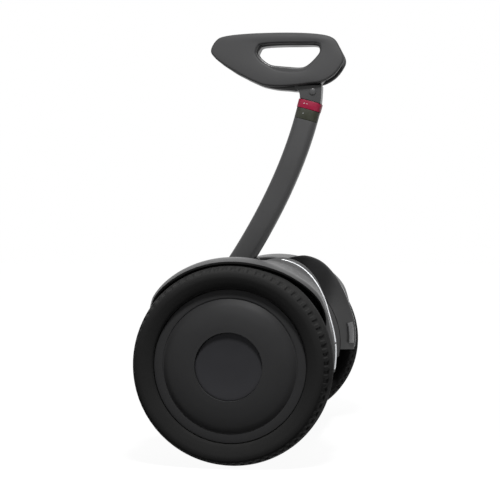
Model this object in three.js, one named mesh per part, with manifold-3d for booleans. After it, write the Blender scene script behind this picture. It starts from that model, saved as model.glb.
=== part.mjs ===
// A self balancing personal transporter: two hub motor wheels, a low deck for the feet and a
// curved steering stem that carries a pair of knee pads and leans from side to side.
// Millimetres. +X forwards, +Y to the rider's left, +Z up. The origin is on the ground, midway
// between the wheels and below their common axis.

import * as THREE from 'three';
import { mergeVertices } from 'three/addons/utils/BufferGeometryUtils.js';
import Module from 'manifold-3d';

const wasm = await Module();
wasm.setup();

// Fits and facets
const seatGap = 0.3;
const overrun = 4;

const wheelFacets = 24;
const shaftFacets = 16;
const screwFacets = 8;
const cornerFacets = 3;

// Wheels
const tyreRadius = 130;
const tyreWidth = 78;
const tyreWall = 7;
const tyreHeight = 36;
const notchWidth = 6;
const notchDepth = 3;
const rimFlangeHeight = 5;
const rimFlangeWidth = 3;
const rimInnerWidth = 40;
const rimWall = 5;
const rimFaceThickness = 5;
const rimFaceDepth = 4;
const bearingWidth = 9;
const bearingWall = 7;
const bearingCollar = 4;
const spacerWall = 2.5;
const magnetThickness = 4;
const magnetWidth = 26;
const airGap = 1.2;
const rotorCoverThickness = 4;
const statorWidth = 16;
const statorTeeth = 9;
const statorToothWidth = 12;
const statorToothHeight = 20;
const statorShoeHeight = 3;
const statorShoeShare = 0.77;
const coilThickness = 5;
const axleRadius = 10;
const axleFlat = 1.5;
const axleStubLength = 6;
const hubCoverInset = 1;
const hubCoverWall = 2.5;
const hubBorder = 11;
const hubDomeHeight = 11;
const hubGrooveWidth = 3;
const hubGrooveDepth = 1.2;
const hubRecessRadius = 43.5;
const hubRecessDepth = 8;
const capThickness = 3;
const capDish = 1.6;
const valveRadius = 3.2;
const valveLength = 26;
const valveCapRadius = 4.4;
const valveCapLength = 11;

// Frame and deck
const frameFront = 80;
const frameRear = 85;
const frameHalfWidth = 182;
const wheelGap = 30;
const frameWall = 4;
const frameCorner = 14;
const frameBottom = 62;
const deckTop = 107;
const deckThickness = 5;
const cheekThickness = 20;
const cheekHalfLength = 34;
const clampHeight = 20;
const clampHalfLength = 30;
const clampBoltSpacing = 40;
const clampBoltRadius = 3;
const screwHeadHeight = 3;
const screwHeadRadius = 5;
const bellyDepth = 12;
const bellyWall = 3;
const bellyScrewInset = 12;
const batteryLength = 146;
const batteryWidth = 250;
const batteryHeight = 40;
const batteryCorner = 8;
const boardLength = 84;
const boardWidth = 62;
const boardThickness = 1.6;
const boardStandoff = 5;
const boardStandoffRadius = 3;
const boardPartHeight = 9;
const boardPlace = -14;

// Foot mats
const matFront = 58;
const matRear = 74;
const matInnerGap = 4;
const matOuterGap = 5;
const matThickness = 7;
const matCorner = 16;
const matBevel = 2;
const matTravel = 1.5;
const matPegRadius = 4;
const matPegInset = 16;
const matPegReach = 7;
const matRibs = 7;
const matRibGap = 4;
const matRibDepth = 1.6;
const sensorThickness = 2;
const sensorInset = 6;

// Central covers
const spineHalfWidth = 46;
const spineFront = 66;
const spineRear = 90;
const spineHeight = 26;
const spineWall = 3;
const spineCorner = 14;
const displayFront = 34;
const displayRear = 14;
const displayHalfWidth = 15;
const displayThickness = 2;
const displayLedge = 2;
const powerButtonRadius = 9;
const powerButtonPlace = 58;
const powerButtonHeight = 5;
const powerButtonFlange = 2;
const powerButtonProud = 1.5;
const cowlFront = 124;
const cowlHalfWidth = 72;
const cowlTop = 165;
const cowlWall = 3;
const cowlSlotHalfWidth = 42;
const cowlNotchDepth = 12;
const cowlCorner = 12;
const cowlSlope = 30;
const cowlEdge = 8;
const lampHalfWidth = 46;
const lampHeight = 14;
const lampCentre = 92;
const lampThickness = 4;
const rearPanelThickness = 6;
const portPlace = 70;
const portHeight = 86;
const portRadius = 10;
const portBore = 6.5;
const portDepth = 14;
const portPinLength = 3;
const portPinRadius = 1;
const portPinSpread = 3;
const portWall = 2;
const capPlateWidth = 28;
const capPlateThickness = 3;
const capHingeRadius = 1.6;

// Fenders, measured round the wheel axis
const fenderClearance = 9.7;
const fenderWall = 3;
const guardReach = 20;
const fenderSetback = 18;
const linerInset = 30;
const linerThickness = 3;
const linerFacets = 24;
const fenderSteps = 22;
const lightStep = 6;
const crestWidth = 5;
const lightWidth = 3;
const lightThickness = 2;
const reflectorThickness = 2.5;
const reflectorSteps = 4;

// Steering stem, along its middle line from the foot to the collar
const pivotHeight = 85;
const pivotRadius = 9;
const pivotRear = 34;
const pivotHousingRadius = 19;
const pivotHousingLength = 40;
const pivotBearingWidth = 9;
const pivotBearingWall = 6;
const armThickness = 18;
const armHalfWidth = 14;
const armPlace = 101;
const springWire = 2.6;
const springRadius = 14;
const springTurns = 2.5;
const springStepsPerTurn = 8;
const springSides = 5;
const stemFootX = 95;
const stemFootZ = 168;
const stemFootLean = 40;
const stemFootPull = 112;
const stemTopX = -69.5;
const stemTopZ = 465.4;
const stemTopLean = 15.5;
const stemTopPull = 105;
const stemDepth = 34;
const stemBreadth = 27;
const stemCorner = 9;
const stemWall = 2.6;
const stemSteps = 14;
const socketWall = 3.2;
const mastDepth = 22;
const mastBreadth = 15;
const mastCorner = 4;
const mastInsertion = 48;
const mastReach = 52;
const sleeveHeight = 15.2;
const collarHeight = 12.2;
const collarProud = 0.6;
const latchThickness = 5;
const latchBreadth = 16;
const latchHubRadius = 4.5;
const latchPinRadius = 2;
const latchEarThickness = 3;
const shieldRadius = 70;
const shieldThickness = 2;
const shieldReach = 40;
const shieldFront = 114;
const shieldFacets = 8;

// Head with its carrying loop and knee pads
const headFront = 67.5;
const headLength = 195;
const headLow = 509;
const headHeight = 82;
const coreBreadth = 22;
const coreBevel = 2;
const padBreadth = 13.5;
const padCrown = 6;
const padCrownFacets = 2;
const headSamples = 44;
const neckBreadth = 27;
const neckDepth = 31.4;
const neckTop = 510.5;
const heightButtonRadius = 5;
const heightButtonThickness = 4;
const heightButtonPlace = 42;
const heightButtonProud = 2;

// Places that follow from the sizes above
const axleHeight = tyreRadius;
const tyreHalf = tyreWidth / 2;
const rimSeatRadius = tyreRadius - tyreHeight;
const rimFlangeRadius = rimSeatRadius + rimFlangeHeight;
const rimHalf = rimInnerWidth / 2 + rimFlangeWidth;
const wheelPlane = frameHalfWidth + wheelGap + rimHalf;
const hubCoverRadius = rimFlangeRadius - hubCoverInset;
const hubDomeRadius = hubCoverRadius - hubBorder;
const rimInside = rimSeatRadius - rimWall;
const magnetInside = rimInside - seatGap - magnetThickness;
const statorRadius = magnetInside - airGap;
const bearingBore = axleRadius + seatGap;
const bearingRadius = bearingBore + bearingWall;
const bearingSeat = bearingRadius + seatGap;
const spacerRadius = bearingBore + spacerWall;
const rotorCoverPlace = -rimHalf + rotorCoverThickness;
const crownRadius = tyreRadius + fenderClearance;
const lipOuter = wheelPlane + tyreHalf - fenderSetback;
const edgeShare = 0.775;
const edgeRadius = crownRadius * edgeShare;
const linerRadius = edgeRadius - 2 * seatGap;
const linerPlace = frameHalfWidth - linerInset;
const guardInner = linerPlace - guardReach;
const matOuter = linerPlace - matOuterGap;
const matInner = spineHalfWidth + matInnerGap;
const rearPanelHalfWidth = frameHalfWidth - frameCorner;
const cheekOuter = frameHalfWidth;
const cheekInner = frameHalfWidth - cheekThickness;
const bellyBottom = frameBottom - bellyDepth;
const sensorTop = deckTop + seatGap + sensorThickness;
const matBottom = sensorTop + seatGap + matTravel;
const matTop = matBottom + matThickness;
const spineTop = deckTop + spineHeight;
const capHingeX = -frameRear - rearPanelThickness - 2 * seatGap - capHingeRadius;
const capHingeZ = portHeight - capPlateWidth / 2;
const bearingHousingRadius = pivotRadius + seatGap + pivotBearingWall;
const degree = Math.PI / 180;

// Closed solids and their joins

function solid(geometry) {
  const bare = geometry.clone();
  bare.deleteAttribute('normal');
  bare.deleteAttribute('uv');
  const welded = mergeVertices(bare);
  const places = welded.attributes.position;
  const corners = welded.index.array;
  const kept = [];
  let volume = 0;
  for (let first = 0; first < corners.length; first += 3) {
    const [a, b, c] = corners.slice(first, first + 3);
    if (a === b || b === c || a === c) continue;
    kept.push(a, b, c);
    const [p, q, r] = [a, b, c].map((corner) => new THREE.Vector3().fromBufferAttribute(places, corner));
    volume += p.dot(q.cross(r));
  }
  if (volume < 0) kept.reverse();
  return new wasm.Manifold(new wasm.Mesh({
    numProp: 3,
    vertProperties: new Float32Array(places.array),
    triVerts: new Uint32Array(kept),
  }));
}

function geometryOf(body) {
  const mesh = body.getMesh();
  const geometry = new THREE.BufferGeometry();
  geometry.setAttribute('position', new THREE.BufferAttribute(new Float32Array(mesh.vertProperties), 3));
  geometry.setIndex(new THREE.BufferAttribute(new Uint32Array(mesh.triVerts), 1));
  geometry.computeVertexNormals();
  return geometry;
}

function join(first, ...others) {
  return others.reduce((whole, other) => whole.add(other), first);
}

function cut(first, ...tools) {
  return tools.reduce((whole, tool) => whole.subtract(tool), first);
}

// A box between two opposite corners
function block(low, high) {
  const size = high.map((value, axis) => value - low[axis]);
  const middle = high.map((value, axis) => (value + low[axis]) / 2);
  return solid(new THREE.BoxGeometry(...size).translate(...middle));
}

// Round bars along each axis, from one end to the other
function rodY(radius, ends, x, z, facets = shaftFacets) {
  const bar = new THREE.CylinderGeometry(radius, radius, ends[1] - ends[0], facets);
  return solid(bar.translate(x, (ends[0] + ends[1]) / 2, z));
}

function rodX(radius, ends, y, z, facets = shaftFacets) {
  const bar = new THREE.CylinderGeometry(radius, radius, ends[1] - ends[0], facets).rotateZ(Math.PI / 2);
  return solid(bar.translate((ends[0] + ends[1]) / 2, y, z));
}

function rodZ(radius, ends, x, y, facets = shaftFacets) {
  const bar = new THREE.CylinderGeometry(radius, radius, ends[1] - ends[0], facets).rotateX(Math.PI / 2);
  return solid(bar.translate(x, y, (ends[0] + ends[1]) / 2));
}

// A body of revolution about Y, from a closed outline of [radius, place along the axis]
function turned(outline, facets = wheelFacets) {
  const closed = [...outline, outline[0]].map(([radius, along]) => new THREE.Vector2(radius, along));
  return solid(new THREE.LatheGeometry(closed, facets));
}

function ring(inner, outer, ends, facets = wheelFacets) {
  return turned([[inner, ends[0]], [outer, ends[0]], [outer, ends[1]], [inner, ends[1]]], facets);
}

function arcPoints(radius, from, to, steps, x = 0, y = 0) {
  return Array.from({ length: steps + 1 }, (_, step) => {
    const angle = from + ((to - from) * step) / steps;
    return new THREE.Vector2(x + radius * Math.cos(angle), y + radius * Math.sin(angle));
  });
}

function roundedRectangle(low, high, corner) {
  const quarter = (turn, x, y) => (
    arcPoints(corner, (turn * Math.PI) / 2, ((turn + 1) * Math.PI) / 2, cornerFacets, x, y)
  );
  return new THREE.Shape([
    ...quarter(0, high[0] - corner, high[1] - corner),
    ...quarter(1, low[0] + corner, high[1] - corner),
    ...quarter(2, low[0] + corner, low[1] + corner),
    ...quarter(3, high[0] - corner, low[1] + corner),
  ]);
}

function shapeThrough(points) {
  return new THREE.Shape(points.map(([x, y]) => new THREE.Vector2(x, y)));
}

// Plates: a shape drawn across two axes and given a thickness along the third, with an
// optional rounded edge that stays inside the shape
function plate(shape, thickness, edge = 0, edgeFacets = 2) {
  return new THREE.ExtrudeGeometry(shape, {
    depth: thickness - 2 * edge,
    bevelEnabled: edge > 0,
    bevelSize: edge,
    bevelThickness: edge,
    bevelOffset: -edge,
    bevelSegments: edgeFacets,
  }).translate(0, 0, edge);
}

function plateZ(shape, ends, edge = 0) {
  return solid(plate(shape, ends[1] - ends[0], edge).translate(0, 0, ends[0]));
}

function plateY(shape, ends, edge = 0, edgeFacets = 2) {
  const slab = plate(shape, ends[1] - ends[0], edge, edgeFacets).rotateX(Math.PI / 2);
  return solid(slab.translate(0, ends[1], 0));
}

function plateX(shape, ends, edge = 0) {
  const slab = plate(shape, ends[1] - ends[0], edge).rotateX(Math.PI / 2).rotateZ(Math.PI / 2);
  return solid(slab.translate(ends[0], 0, 0));
}

// A skin through sections that all have the same number of points, closed by its end faces
function loft(sections, placeOf) {
  const count = sections[0].length;
  const places = sections.flatMap((section, station) => section.map((point) => placeOf(point, station)));
  const corners = [];
  for (let station = 0; station < sections.length - 1; station += 1) {
    for (let point = 0; point < count; point += 1) {
      const here = station * count + point;
      const next = station * count + ((point + 1) % count);
      corners.push(here, next, next + count, here, next + count, here + count);
    }
  }
  const last = (sections.length - 1) * count;
  corners.push(...endFace(sections[0], 0, true), ...endFace(sections.at(-1), last, false));
  const geometry = new THREE.BufferGeometry().setFromPoints(places);
  geometry.setIndex(corners);
  return solid(geometry);
}

function endFace(section, offset, turnedOver) {
  const outline = section.map(([x, y]) => new THREE.Vector2(x, y));
  const faces = THREE.ShapeUtils.triangulateShape(outline, []);
  const areaOf = (face) => THREE.ShapeUtils.area(face.map((corner) => outline[corner]));
  const area = faces.reduce((sum, face) => sum + areaOf(face), 0);
  const agrees = area > 0 === THREE.ShapeUtils.area(outline) > 0;
  const facing = ([a, b, c]) => (agrees !== turnedOver ? [a, b, c] : [a, c, b]);
  return faces.flatMap((face) => facing(face).map((corner) => corner + offset));
}

// A bar of constant section along a curve that lies in the plane of symmetry
function barAlong(curve, halfDepth, halfBreadth, corner, steps) {
  const section = roundedRectangle([-halfBreadth, -halfDepth], [halfBreadth, halfDepth], corner);
  return solid(new THREE.ExtrudeGeometry(section, { steps, extrudePath: curve }));
}

const transporter = new THREE.Group();

function add(name, body, colour, roughness, metalness, holder = transporter) {
  const material = new THREE.MeshStandardMaterial({ color: colour, roughness, metalness });
  const mesh = new THREE.Mesh(geometryOf(body), material);
  mesh.name = name;
  holder.add(mesh);
}

// Colours
const tyreBlack = 0x151515;
const shellBlack = 0x2b2b2c;
const satinBlack = 0x1d1d1e;
const deepBlack = 0x0b0b0b;
const headGrey = 0x4a4a4b;
const padGrey = 0x474748;
const matBlack = 0x1a1a1a;
const castGrey = 0x8f9194;
const steelGrey = 0xb4b6b9;
const copper = 0xb06a3b;
const boardGreen = 0x1f5a34;
const lightWhite = 0xf1f3f5;
const collarRed = 0xb4103c;
const sleeveOlive = 0x34362b;
const glassBlack = 0x101214;

// Wheels. Their own middle plane is y = 0 and +Y is the side away from the deck.

// Half of the tyre's section, from the inner heel of the bead outwards: share of the way from
// the bead seat to the tread, share of the half width
const tyreOuterShares = [[0.28, 0.85], [0.58, 1], [0.78, 0.92], [0.9, 0.6], [1, 0.15]];
const tyreInnerShares = [[0.5, 0.95], [0.88, 0.45]];
const tyreNotches = wheelFacets;

function tyre() {
  const bead = rimSeatRadius + seatGap;
  const beadFace = rimInnerWidth / 2;
  const up = (share, top) => bead + (top - bead) * share;
  const outer = [
    [bead, beadFace],
    [rimFlangeRadius + seatGap, beadFace],
    ...tyreOuterShares.map(([rise, across]) => [up(rise, tyreRadius), tyreHalf * across]),
  ];
  const inner = [
    [bead, beadFace - tyreWall],
    ...tyreInnerShares.map(([rise, across]) => [
      up(rise, tyreRadius - tyreWall),
      (tyreHalf - tyreWall) * across,
    ]),
  ];
  const mirrored = (points) => points.map(([radius, along]) => [radius, -along]).reverse();
  const body = turned([...outer, ...mirrored(outer), ...mirrored(inner).reverse(), ...inner.reverse()]);
  const notch = shoulderNotch(outer.at(-3), outer.at(-2));
  const pair = join(notch, notch.rotate([0, 0, 180]));
  const turns = Array.from({ length: tyreNotches }, (_, index) => ((index + 1 / 2) * 360) / tyreNotches);
  return cut(body, ...turns.map((turn) => pair.rotate([0, turn, 0])));
}

// One notch in the shoulder of the tread, sunk below two places of the tyre's outline
function shoulderNotch([lowRadius, lowAcross], [highRadius, highAcross]) {
  const outline = shapeThrough([
    [highAcross, highRadius - notchDepth],
    [lowAcross, lowRadius - notchDepth],
    [tyreHalf + overrun, lowRadius - 2 * notchDepth],
    [tyreHalf + overrun, tyreRadius + overrun],
    [highAcross, tyreRadius + overrun],
  ]);
  return plateX(outline, [-notchWidth / 2, notchWidth / 2]);
}

// The rotor drum carries the tyre outside and the magnets inside
function rim() {
  const seatHalf = rimInnerWidth / 2 + seatGap;
  const faceOuter = rimHalf - rimFaceDepth;
  const faceInner = faceOuter - rimFaceThickness;
  const bossInner = faceOuter - bearingWidth;
  return turned([
    [rimInside, -rimHalf],
    [rimFlangeRadius, -rimHalf],
    [rimFlangeRadius, -seatHalf],
    [rimSeatRadius, -seatHalf],
    [rimSeatRadius, seatHalf],
    [rimFlangeRadius, seatHalf],
    [rimFlangeRadius, rimHalf],
    [rimInside, rimHalf],
    [rimInside, faceOuter],
    [bearingSeat, faceOuter],
    [bearingSeat, bossInner],
    [bearingSeat + bearingCollar, bossInner],
    [bearingSeat + bearingCollar, faceInner],
    [rimInside, faceInner],
  ]);
}

function rotorCover() {
  const innerFace = rotorCoverPlace;
  const bossEnd = innerFace + bearingWidth;
  return turned([
    [bearingSeat, -rimHalf],
    [rimInside - seatGap, -rimHalf],
    [rimInside - seatGap, innerFace],
    [bearingSeat + bearingCollar, innerFace],
    [bearingSeat + bearingCollar, bossEnd],
    [bearingSeat, bossEnd],
  ]);
}

function magnetRing() {
  return ring(magnetInside, rimInside - seatGap, [-magnetWidth / 2, magnetWidth / 2]);
}

// Two bearings with a spacer sleeve between them, which carries the stator
function wheelBearings() {
  const outerEnd = rimHalf - rimFaceDepth;
  const outer = ring(bearingBore, bearingRadius, [outerEnd - bearingWidth, outerEnd], shaftFacets);
  const inner = ring(bearingBore, bearingRadius, [-rimHalf, -rimHalf + bearingWidth], shaftFacets);
  const spacer = ring(bearingBore, spacerRadius, [-rimHalf, outerEnd], shaftFacets);
  return join(outer, inner, spacer);
}

// The laminated core and its coils stand still on the spacer sleeve
function stator() {
  const half = statorWidth / 2;
  const shoeInside = statorRadius - statorShoeHeight;
  const yokeOutside = shoeInside - statorToothHeight;
  const toothHalf = statorToothWidth / 2;
  const pitch = (2 * Math.PI) / statorTeeth;
  const shoeHalf = statorRadius * Math.sin(pitch / 2) * statorShoeShare;
  const outline = [];
  const coils = [];
  for (let tooth = 0; tooth < statorTeeth; tooth += 1) {
    const side = [
      [toothHalf, yokeOutside],
      [toothHalf, shoeInside],
      [shoeHalf, shoeInside],
      [shoeHalf, Math.sqrt(statorRadius ** 2 - shoeHalf ** 2)],
    ];
    const mirrored = side.map(([across, out]) => [-across, out]).reverse();
    const points = [...side, [0, statorRadius], ...mirrored];
    outline.push(...points.map(([across, out]) => turnPoint(across, out, pitch * tooth)));
    coils.push(coil(toothHalf, half, yokeOutside, shoeInside, pitch * tooth));
  }
  const core = shapeThrough(outline);
  core.holes.push(new THREE.Path(arcPoints(spacerRadius + seatGap, 0, 2 * Math.PI, shaftFacets).slice(1)));
  return join(plateY(core, [-half, half]), ...coils);
}

function turnPoint(across, out, angle) {
  const cosine = Math.cos(angle);
  const sine = Math.sin(angle);
  return [across * cosine - out * sine, across * sine + out * cosine];
}

// One coil: a squared winding round its tooth
function coil(toothHalf, half, yokeOutside, shoeInside, angle) {
  const rectangle = (across, along) => [[-across, -along], [across, -along], [across, along], [-across, along]];
  const winding = shapeThrough(rectangle(toothHalf + coilThickness, half + coilThickness));
  const inside = yokeOutside + coilThickness / 2;
  const depth = shoeInside - coilThickness / 2 - inside;
  const body = new THREE.ExtrudeGeometry(winding, { depth, bevelEnabled: false });
  return solid(body.translate(0, 0, inside).rotateY(-angle));
}

// The axle runs from inside the hub cover to its clamp on the frame, with two flats for grip
function axle() {
  const outerEnd = rimHalf - rimFaceDepth + axleStubLength / 2;
  const innerEnd = -(wheelPlane - cheekInner) - axleStubLength;
  const flatEnd = -(wheelPlane - cheekOuter);
  const bar = rodY(axleRadius, [innerEnd, outerEnd], 0, 0);
  const flats = [1, -1].map((side) => {
    const near = side * (axleRadius - axleFlat);
    const far = side * (axleRadius + overrun);
    return block(
      [Math.min(near, far), innerEnd - overrun, -axleRadius - overrun],
      [Math.max(near, far), flatEnd, axleRadius + overrun],
    );
  });
  return cut(bar, ...flats);
}

// Height of the convex dome between its edge and the lip of the recess
const domeShares = [[0, 0], [0.18, 0.42], [0.45, 0.76], [0.75, 0.95], [1, 1]];

function hubCover() {
  const back = rimHalf + seatGap;
  const face = back + hubCoverWall;
  const dome = domeShares.map(([inwards, rise]) => [
    hubDomeRadius - hubGrooveWidth + (hubRecessRadius - hubDomeRadius + hubGrooveWidth) * inwards,
    face + hubDomeHeight * rise,
  ]);
  const floor = face + hubDomeHeight - hubRecessDepth;
  const recessBack = hubRecessRadius + hubCoverWall;
  return turned([
    [hubCoverRadius, back],
    [hubCoverRadius, face],
    [hubDomeRadius, face],
    [hubDomeRadius, face - hubGrooveDepth],
    [hubDomeRadius - hubGrooveWidth, face - hubGrooveDepth],
    ...dome,
    [hubRecessRadius, floor],
    [bearingRadius, floor],
    [bearingRadius, floor - hubCoverWall],
    [recessBack, floor - hubCoverWall],
    [recessBack, face],
    [hubDomeRadius - hubGrooveWidth - hubCoverWall, back],
  ]);
}

const capRimShare = 0.94;
const capSlopeShare = 0.55;
const capSlopeDishShare = 0.75;

function centreCap() {
  const floor = rimHalf + hubCoverWall + hubDomeHeight - hubRecessDepth + 2 * seatGap;
  const edge = hubRecessRadius - seatGap;
  const pin = bearingRadius - seatGap;
  return turned([
    [0, floor],
    [0, floor - hubCoverWall],
    [pin, floor - hubCoverWall],
    [pin, floor],
    [edge, floor],
    [edge, floor + capThickness],
    [edge * capRimShare, floor + capThickness],
    [edge * capSlopeShare, floor + capThickness - capDish * capSlopeDishShare],
    [0, floor + capThickness - capDish],
  ].reverse());
}

// The valve stands on the rim's end face, on the deck side
function valve() {
  const place = rimInside + rimWall / 2;
  const tip = -rimHalf - valveLength;
  const stemRod = rodY(valveRadius, [tip, -rimHalf - seatGap], 0, place, screwFacets);
  const capRod = rodY(valveCapRadius, [tip, tip + valveCapLength], 0, place, screwFacets);
  return join(stemRod, capRod);
}

function wheel(side, sideName) {
  const holder = new THREE.Group();
  holder.position.set(0, side * wheelPlane, axleHeight);
  holder.rotation.z = side > 0 ? 0 : Math.PI;
  add(`tyre_${sideName}`, tyre(), tyreBlack, 0.85, 0, holder);
  add(`rim_${sideName}`, rim(), castGrey, 0.45, 0.8, holder);
  add(`magnet_ring_${sideName}`, magnetRing(), steelGrey, 0.5, 0.9, holder);
  add(`rotor_cover_${sideName}`, rotorCover(), castGrey, 0.5, 0.8, holder);
  add(`stator_${sideName}`, stator(), copper, 0.5, 0.7, holder);
  add(`axle_${sideName}`, axle(), steelGrey, 0.3, 0.95, holder);
  add(`wheel_bearings_${sideName}`, wheelBearings(), steelGrey, 0.25, 0.95, holder);
  add(`hub_cover_${sideName}`, hubCover(), shellBlack, 0.4, 0, holder);
  add(`centre_cap_${sideName}`, centreCap(), satinBlack, 0.45, 0, holder);
  add(`valve_stem_${sideName}`, valve(), tyreBlack, 0.7, 0, holder);
  transporter.add(holder);
}

// Frame: a tub open below, with a deck plate on top and a cheek for each axle
function chassisFrame() {
  const outside = roundedRectangle([-frameRear, -frameHalfWidth], [frameFront, frameHalfWidth], frameCorner);
  const inside = roundedRectangle(
    [-frameRear + frameWall, -frameHalfWidth + frameWall],
    [frameFront - frameWall, frameHalfWidth - frameWall],
    frameCorner - frameWall,
  );
  let body = cut(
    plateZ(outside, [frameBottom, deckTop]),
    plateZ(inside, [frameBottom - overrun, deckTop - deckThickness]),
  );
  for (const side of [1, -1]) {
    const across = [side * cheekInner, side * cheekOuter].sort((a, b) => a - b);
    body = join(body, block(
      [-cheekHalfLength, across[0], deckTop - deckThickness],
      [cheekHalfLength, across[1], axleHeight - seatGap / 2],
    ));
    body = cut(
      body,
      rodY(axleRadius + seatGap, [across[0] - overrun, across[1] + overrun], 0, axleHeight),
      ...clampBoltHoles(side),
    );
    const pegHole = [deckTop - deckThickness - overrun, deckTop + overrun];
    for (const peg of matPegs(side)) {
      body = cut(body, rodZ(matPegRadius + seatGap, pegHole, ...peg, screwFacets));
    }
  }
  const standoff = [deckTop - deckThickness / 2, deckTop + boardStandoff];
  for (const [x, y] of boardCorners()) {
    body = join(body, rodZ(boardStandoffRadius, standoff, x, y, screwFacets));
  }
  return cut(pivotHousing(body), portHole());
}

// The steering shaft's housing hangs inside the front wall of the tub
function pivotHousing(body) {
  const rear = frameFront - pivotHousingLength;
  const housing = join(
    rodX(pivotHousingRadius, [rear, frameFront], 0, pivotHeight, wheelFacets / 2),
    block([rear, -frameWall, pivotHeight], [frameFront - frameWall / 2, frameWall, deckTop - deckThickness / 2]),
  );
  const bore = rodX(bearingHousingRadius + seatGap, [rear - overrun, frameFront + overrun], 0, pivotHeight);
  return cut(join(body, housing), bore);
}

function boardCorners() {
  const x = boardLength / 2 - 2 * boardStandoffRadius;
  const y = boardWidth / 2 - 2 * boardStandoffRadius;
  return [[x, y], [x, -y], [-x, y], [-x, -y]].map(([along, across]) => [along + boardPlace, across]);
}

function matPegs(side) {
  const front = matFront - matPegInset;
  const rear = -matRear + matPegInset;
  const across = [matInner + matPegInset, matOuter - matPegInset];
  return [front, rear].flatMap((x) => across.map((y) => [x, side * y]));
}

function clampBoltPlaces(side) {
  const y = side * (cheekInner + cheekOuter) / 2;
  return [[clampBoltSpacing / 2, y], [-clampBoltSpacing / 2, y]];
}

function clampBoltHoles(side) {
  const ends = [axleHeight - clampHeight, axleHeight + overrun];
  return clampBoltPlaces(side).map(([x, y]) => rodZ(clampBoltRadius + seatGap, ends, x, y, screwFacets));
}

// The cap that holds an axle down on its cheek, with its two bolts
function axleClamp(side) {
  const across = [side * cheekInner, side * cheekOuter].sort((a, b) => a - b);
  const shape = new THREE.Shape();
  shape.moveTo(clampHalfLength, axleHeight + seatGap / 2);
  shape.lineTo(clampHalfLength, axleHeight + clampHeight / 2);
  shape.lineTo(clampHalfLength / 2, axleHeight + clampHeight);
  shape.lineTo(-clampHalfLength / 2, axleHeight + clampHeight);
  shape.lineTo(-clampHalfLength, axleHeight + clampHeight / 2);
  shape.lineTo(-clampHalfLength, axleHeight + seatGap / 2);
  const cap = cut(
    plateY(shape, across),
    rodY(axleRadius + seatGap, [across[0] - overrun, across[1] + overrun], 0, axleHeight),
  );
  const bolts = clampBoltPlaces(side).map(([x, y]) => join(
    rodZ(clampBoltRadius, [axleHeight - clampHeight + seatGap, axleHeight + clampHeight / 2], x, y, screwFacets),
    rodZ(screwHeadRadius, [axleHeight + clampHeight / 4, axleHeight + clampHeight], x, y, screwFacets),
  ));
  return join(cap, ...bolts);
}

function bellyScrewPlaces() {
  const x = [frameFront - bellyScrewInset, -frameRear + bellyScrewInset];
  const y = frameHalfWidth - bellyScrewInset;
  return x.flatMap((along) => [[along, y], [along, -y]]);
}

// A shallow tray closes the tub from below and carries the battery
function bellyCover() {
  const inset = bellyWall / 2;
  const corner = frameCorner - bellyWall;
  const outside = roundedRectangle(
    [-frameRear + inset, -frameHalfWidth + inset],
    [frameFront - inset, frameHalfWidth - inset],
    corner,
  );
  const inside = roundedRectangle(
    [-frameRear + inset + bellyWall, -frameHalfWidth + inset + bellyWall],
    [frameFront - inset - bellyWall, frameHalfWidth - inset - bellyWall],
    corner - bellyWall / 2,
  );
  const top = frameBottom - seatGap;
  const sunk = bellyScrewPlaces().map(([x, y]) => rodZ(
    screwHeadRadius,
    [bellyBottom - overrun, bellyBottom + screwHeadHeight],
    x,
    y,
    screwFacets,
  ));
  const posts = bellyScrewPlaces().map(([x, y]) => rodZ(
    screwHeadRadius + bellyWall,
    [bellyBottom + bellyWall / 2, top],
    x,
    y,
    screwFacets,
  ));
  const tray = cut(
    plateZ(outside, [bellyBottom, top + bellyWall], bellyWall),
    plateZ(inside, [bellyBottom + bellyWall, top + 2 * bellyWall]),
    block([-tyreRadius, -wheelPlane, top], [tyreRadius, wheelPlane, top + 2 * bellyWall]),
  );
  return cut(join(tray, ...posts), ...sunk);
}

function batteryPack() {
  const bottom = bellyBottom + bellyWall + seatGap;
  const middle = (frameFront - frameRear) / 2;
  const shape = roundedRectangle([middle - batteryLength / 2, -batteryWidth / 2],
    [middle + batteryLength / 2, batteryWidth / 2], batteryCorner);
  return cut(
    plateZ(shape, [bottom, bottom + batteryHeight]),
    block(
      [frameFront - pivotHousingLength - batteryCorner, -pivotHousingRadius - batteryCorner, bottom + bellyWall],
      [tyreRadius, pivotHousingRadius + batteryCorner, bottom + batteryHeight + overrun],
    ),
  );
}

// The board's larger parts: their ends along and across the board, as shares of half its size,
// and their height as a share of the highest
const boardPartShares = [
  [-0.8, -0.2, -0.7, 0.1, 0.5],
  [0.1, 0.7, -0.6, 0.6, 1],
  [-0.7, -0.3, 0.35, 0.75, 0.8],
];

function controlBoard() {
  const bottom = deckTop + boardStandoff + seatGap;
  const x = boardLength / 2;
  const y = boardWidth / 2;
  const top = bottom + boardThickness;
  const at = (low, high) => block([low[0] + boardPlace, ...low.slice(1)], [high[0] + boardPlace, ...high.slice(1)]);
  const parts = boardPartShares.map(([x1, x2, y1, y2, rise]) => (
    at([x * x1, y * y1, bottom], [x * x2, y * y2, top + boardPartHeight * rise])
  ));
  return join(at([-x, -y, bottom], [x, y, top]), ...parts);
}

// Foot mats with pegs that guide them in the deck, over thin pressure plates
function matShape(side, inset) {
  const across = [side * (matInner + inset), side * (matOuter - inset)].sort((a, b) => a - b);
  return roundedRectangle([-matRear + inset, across[0]], [matFront - inset, across[1]], matCorner - inset);
}

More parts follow.
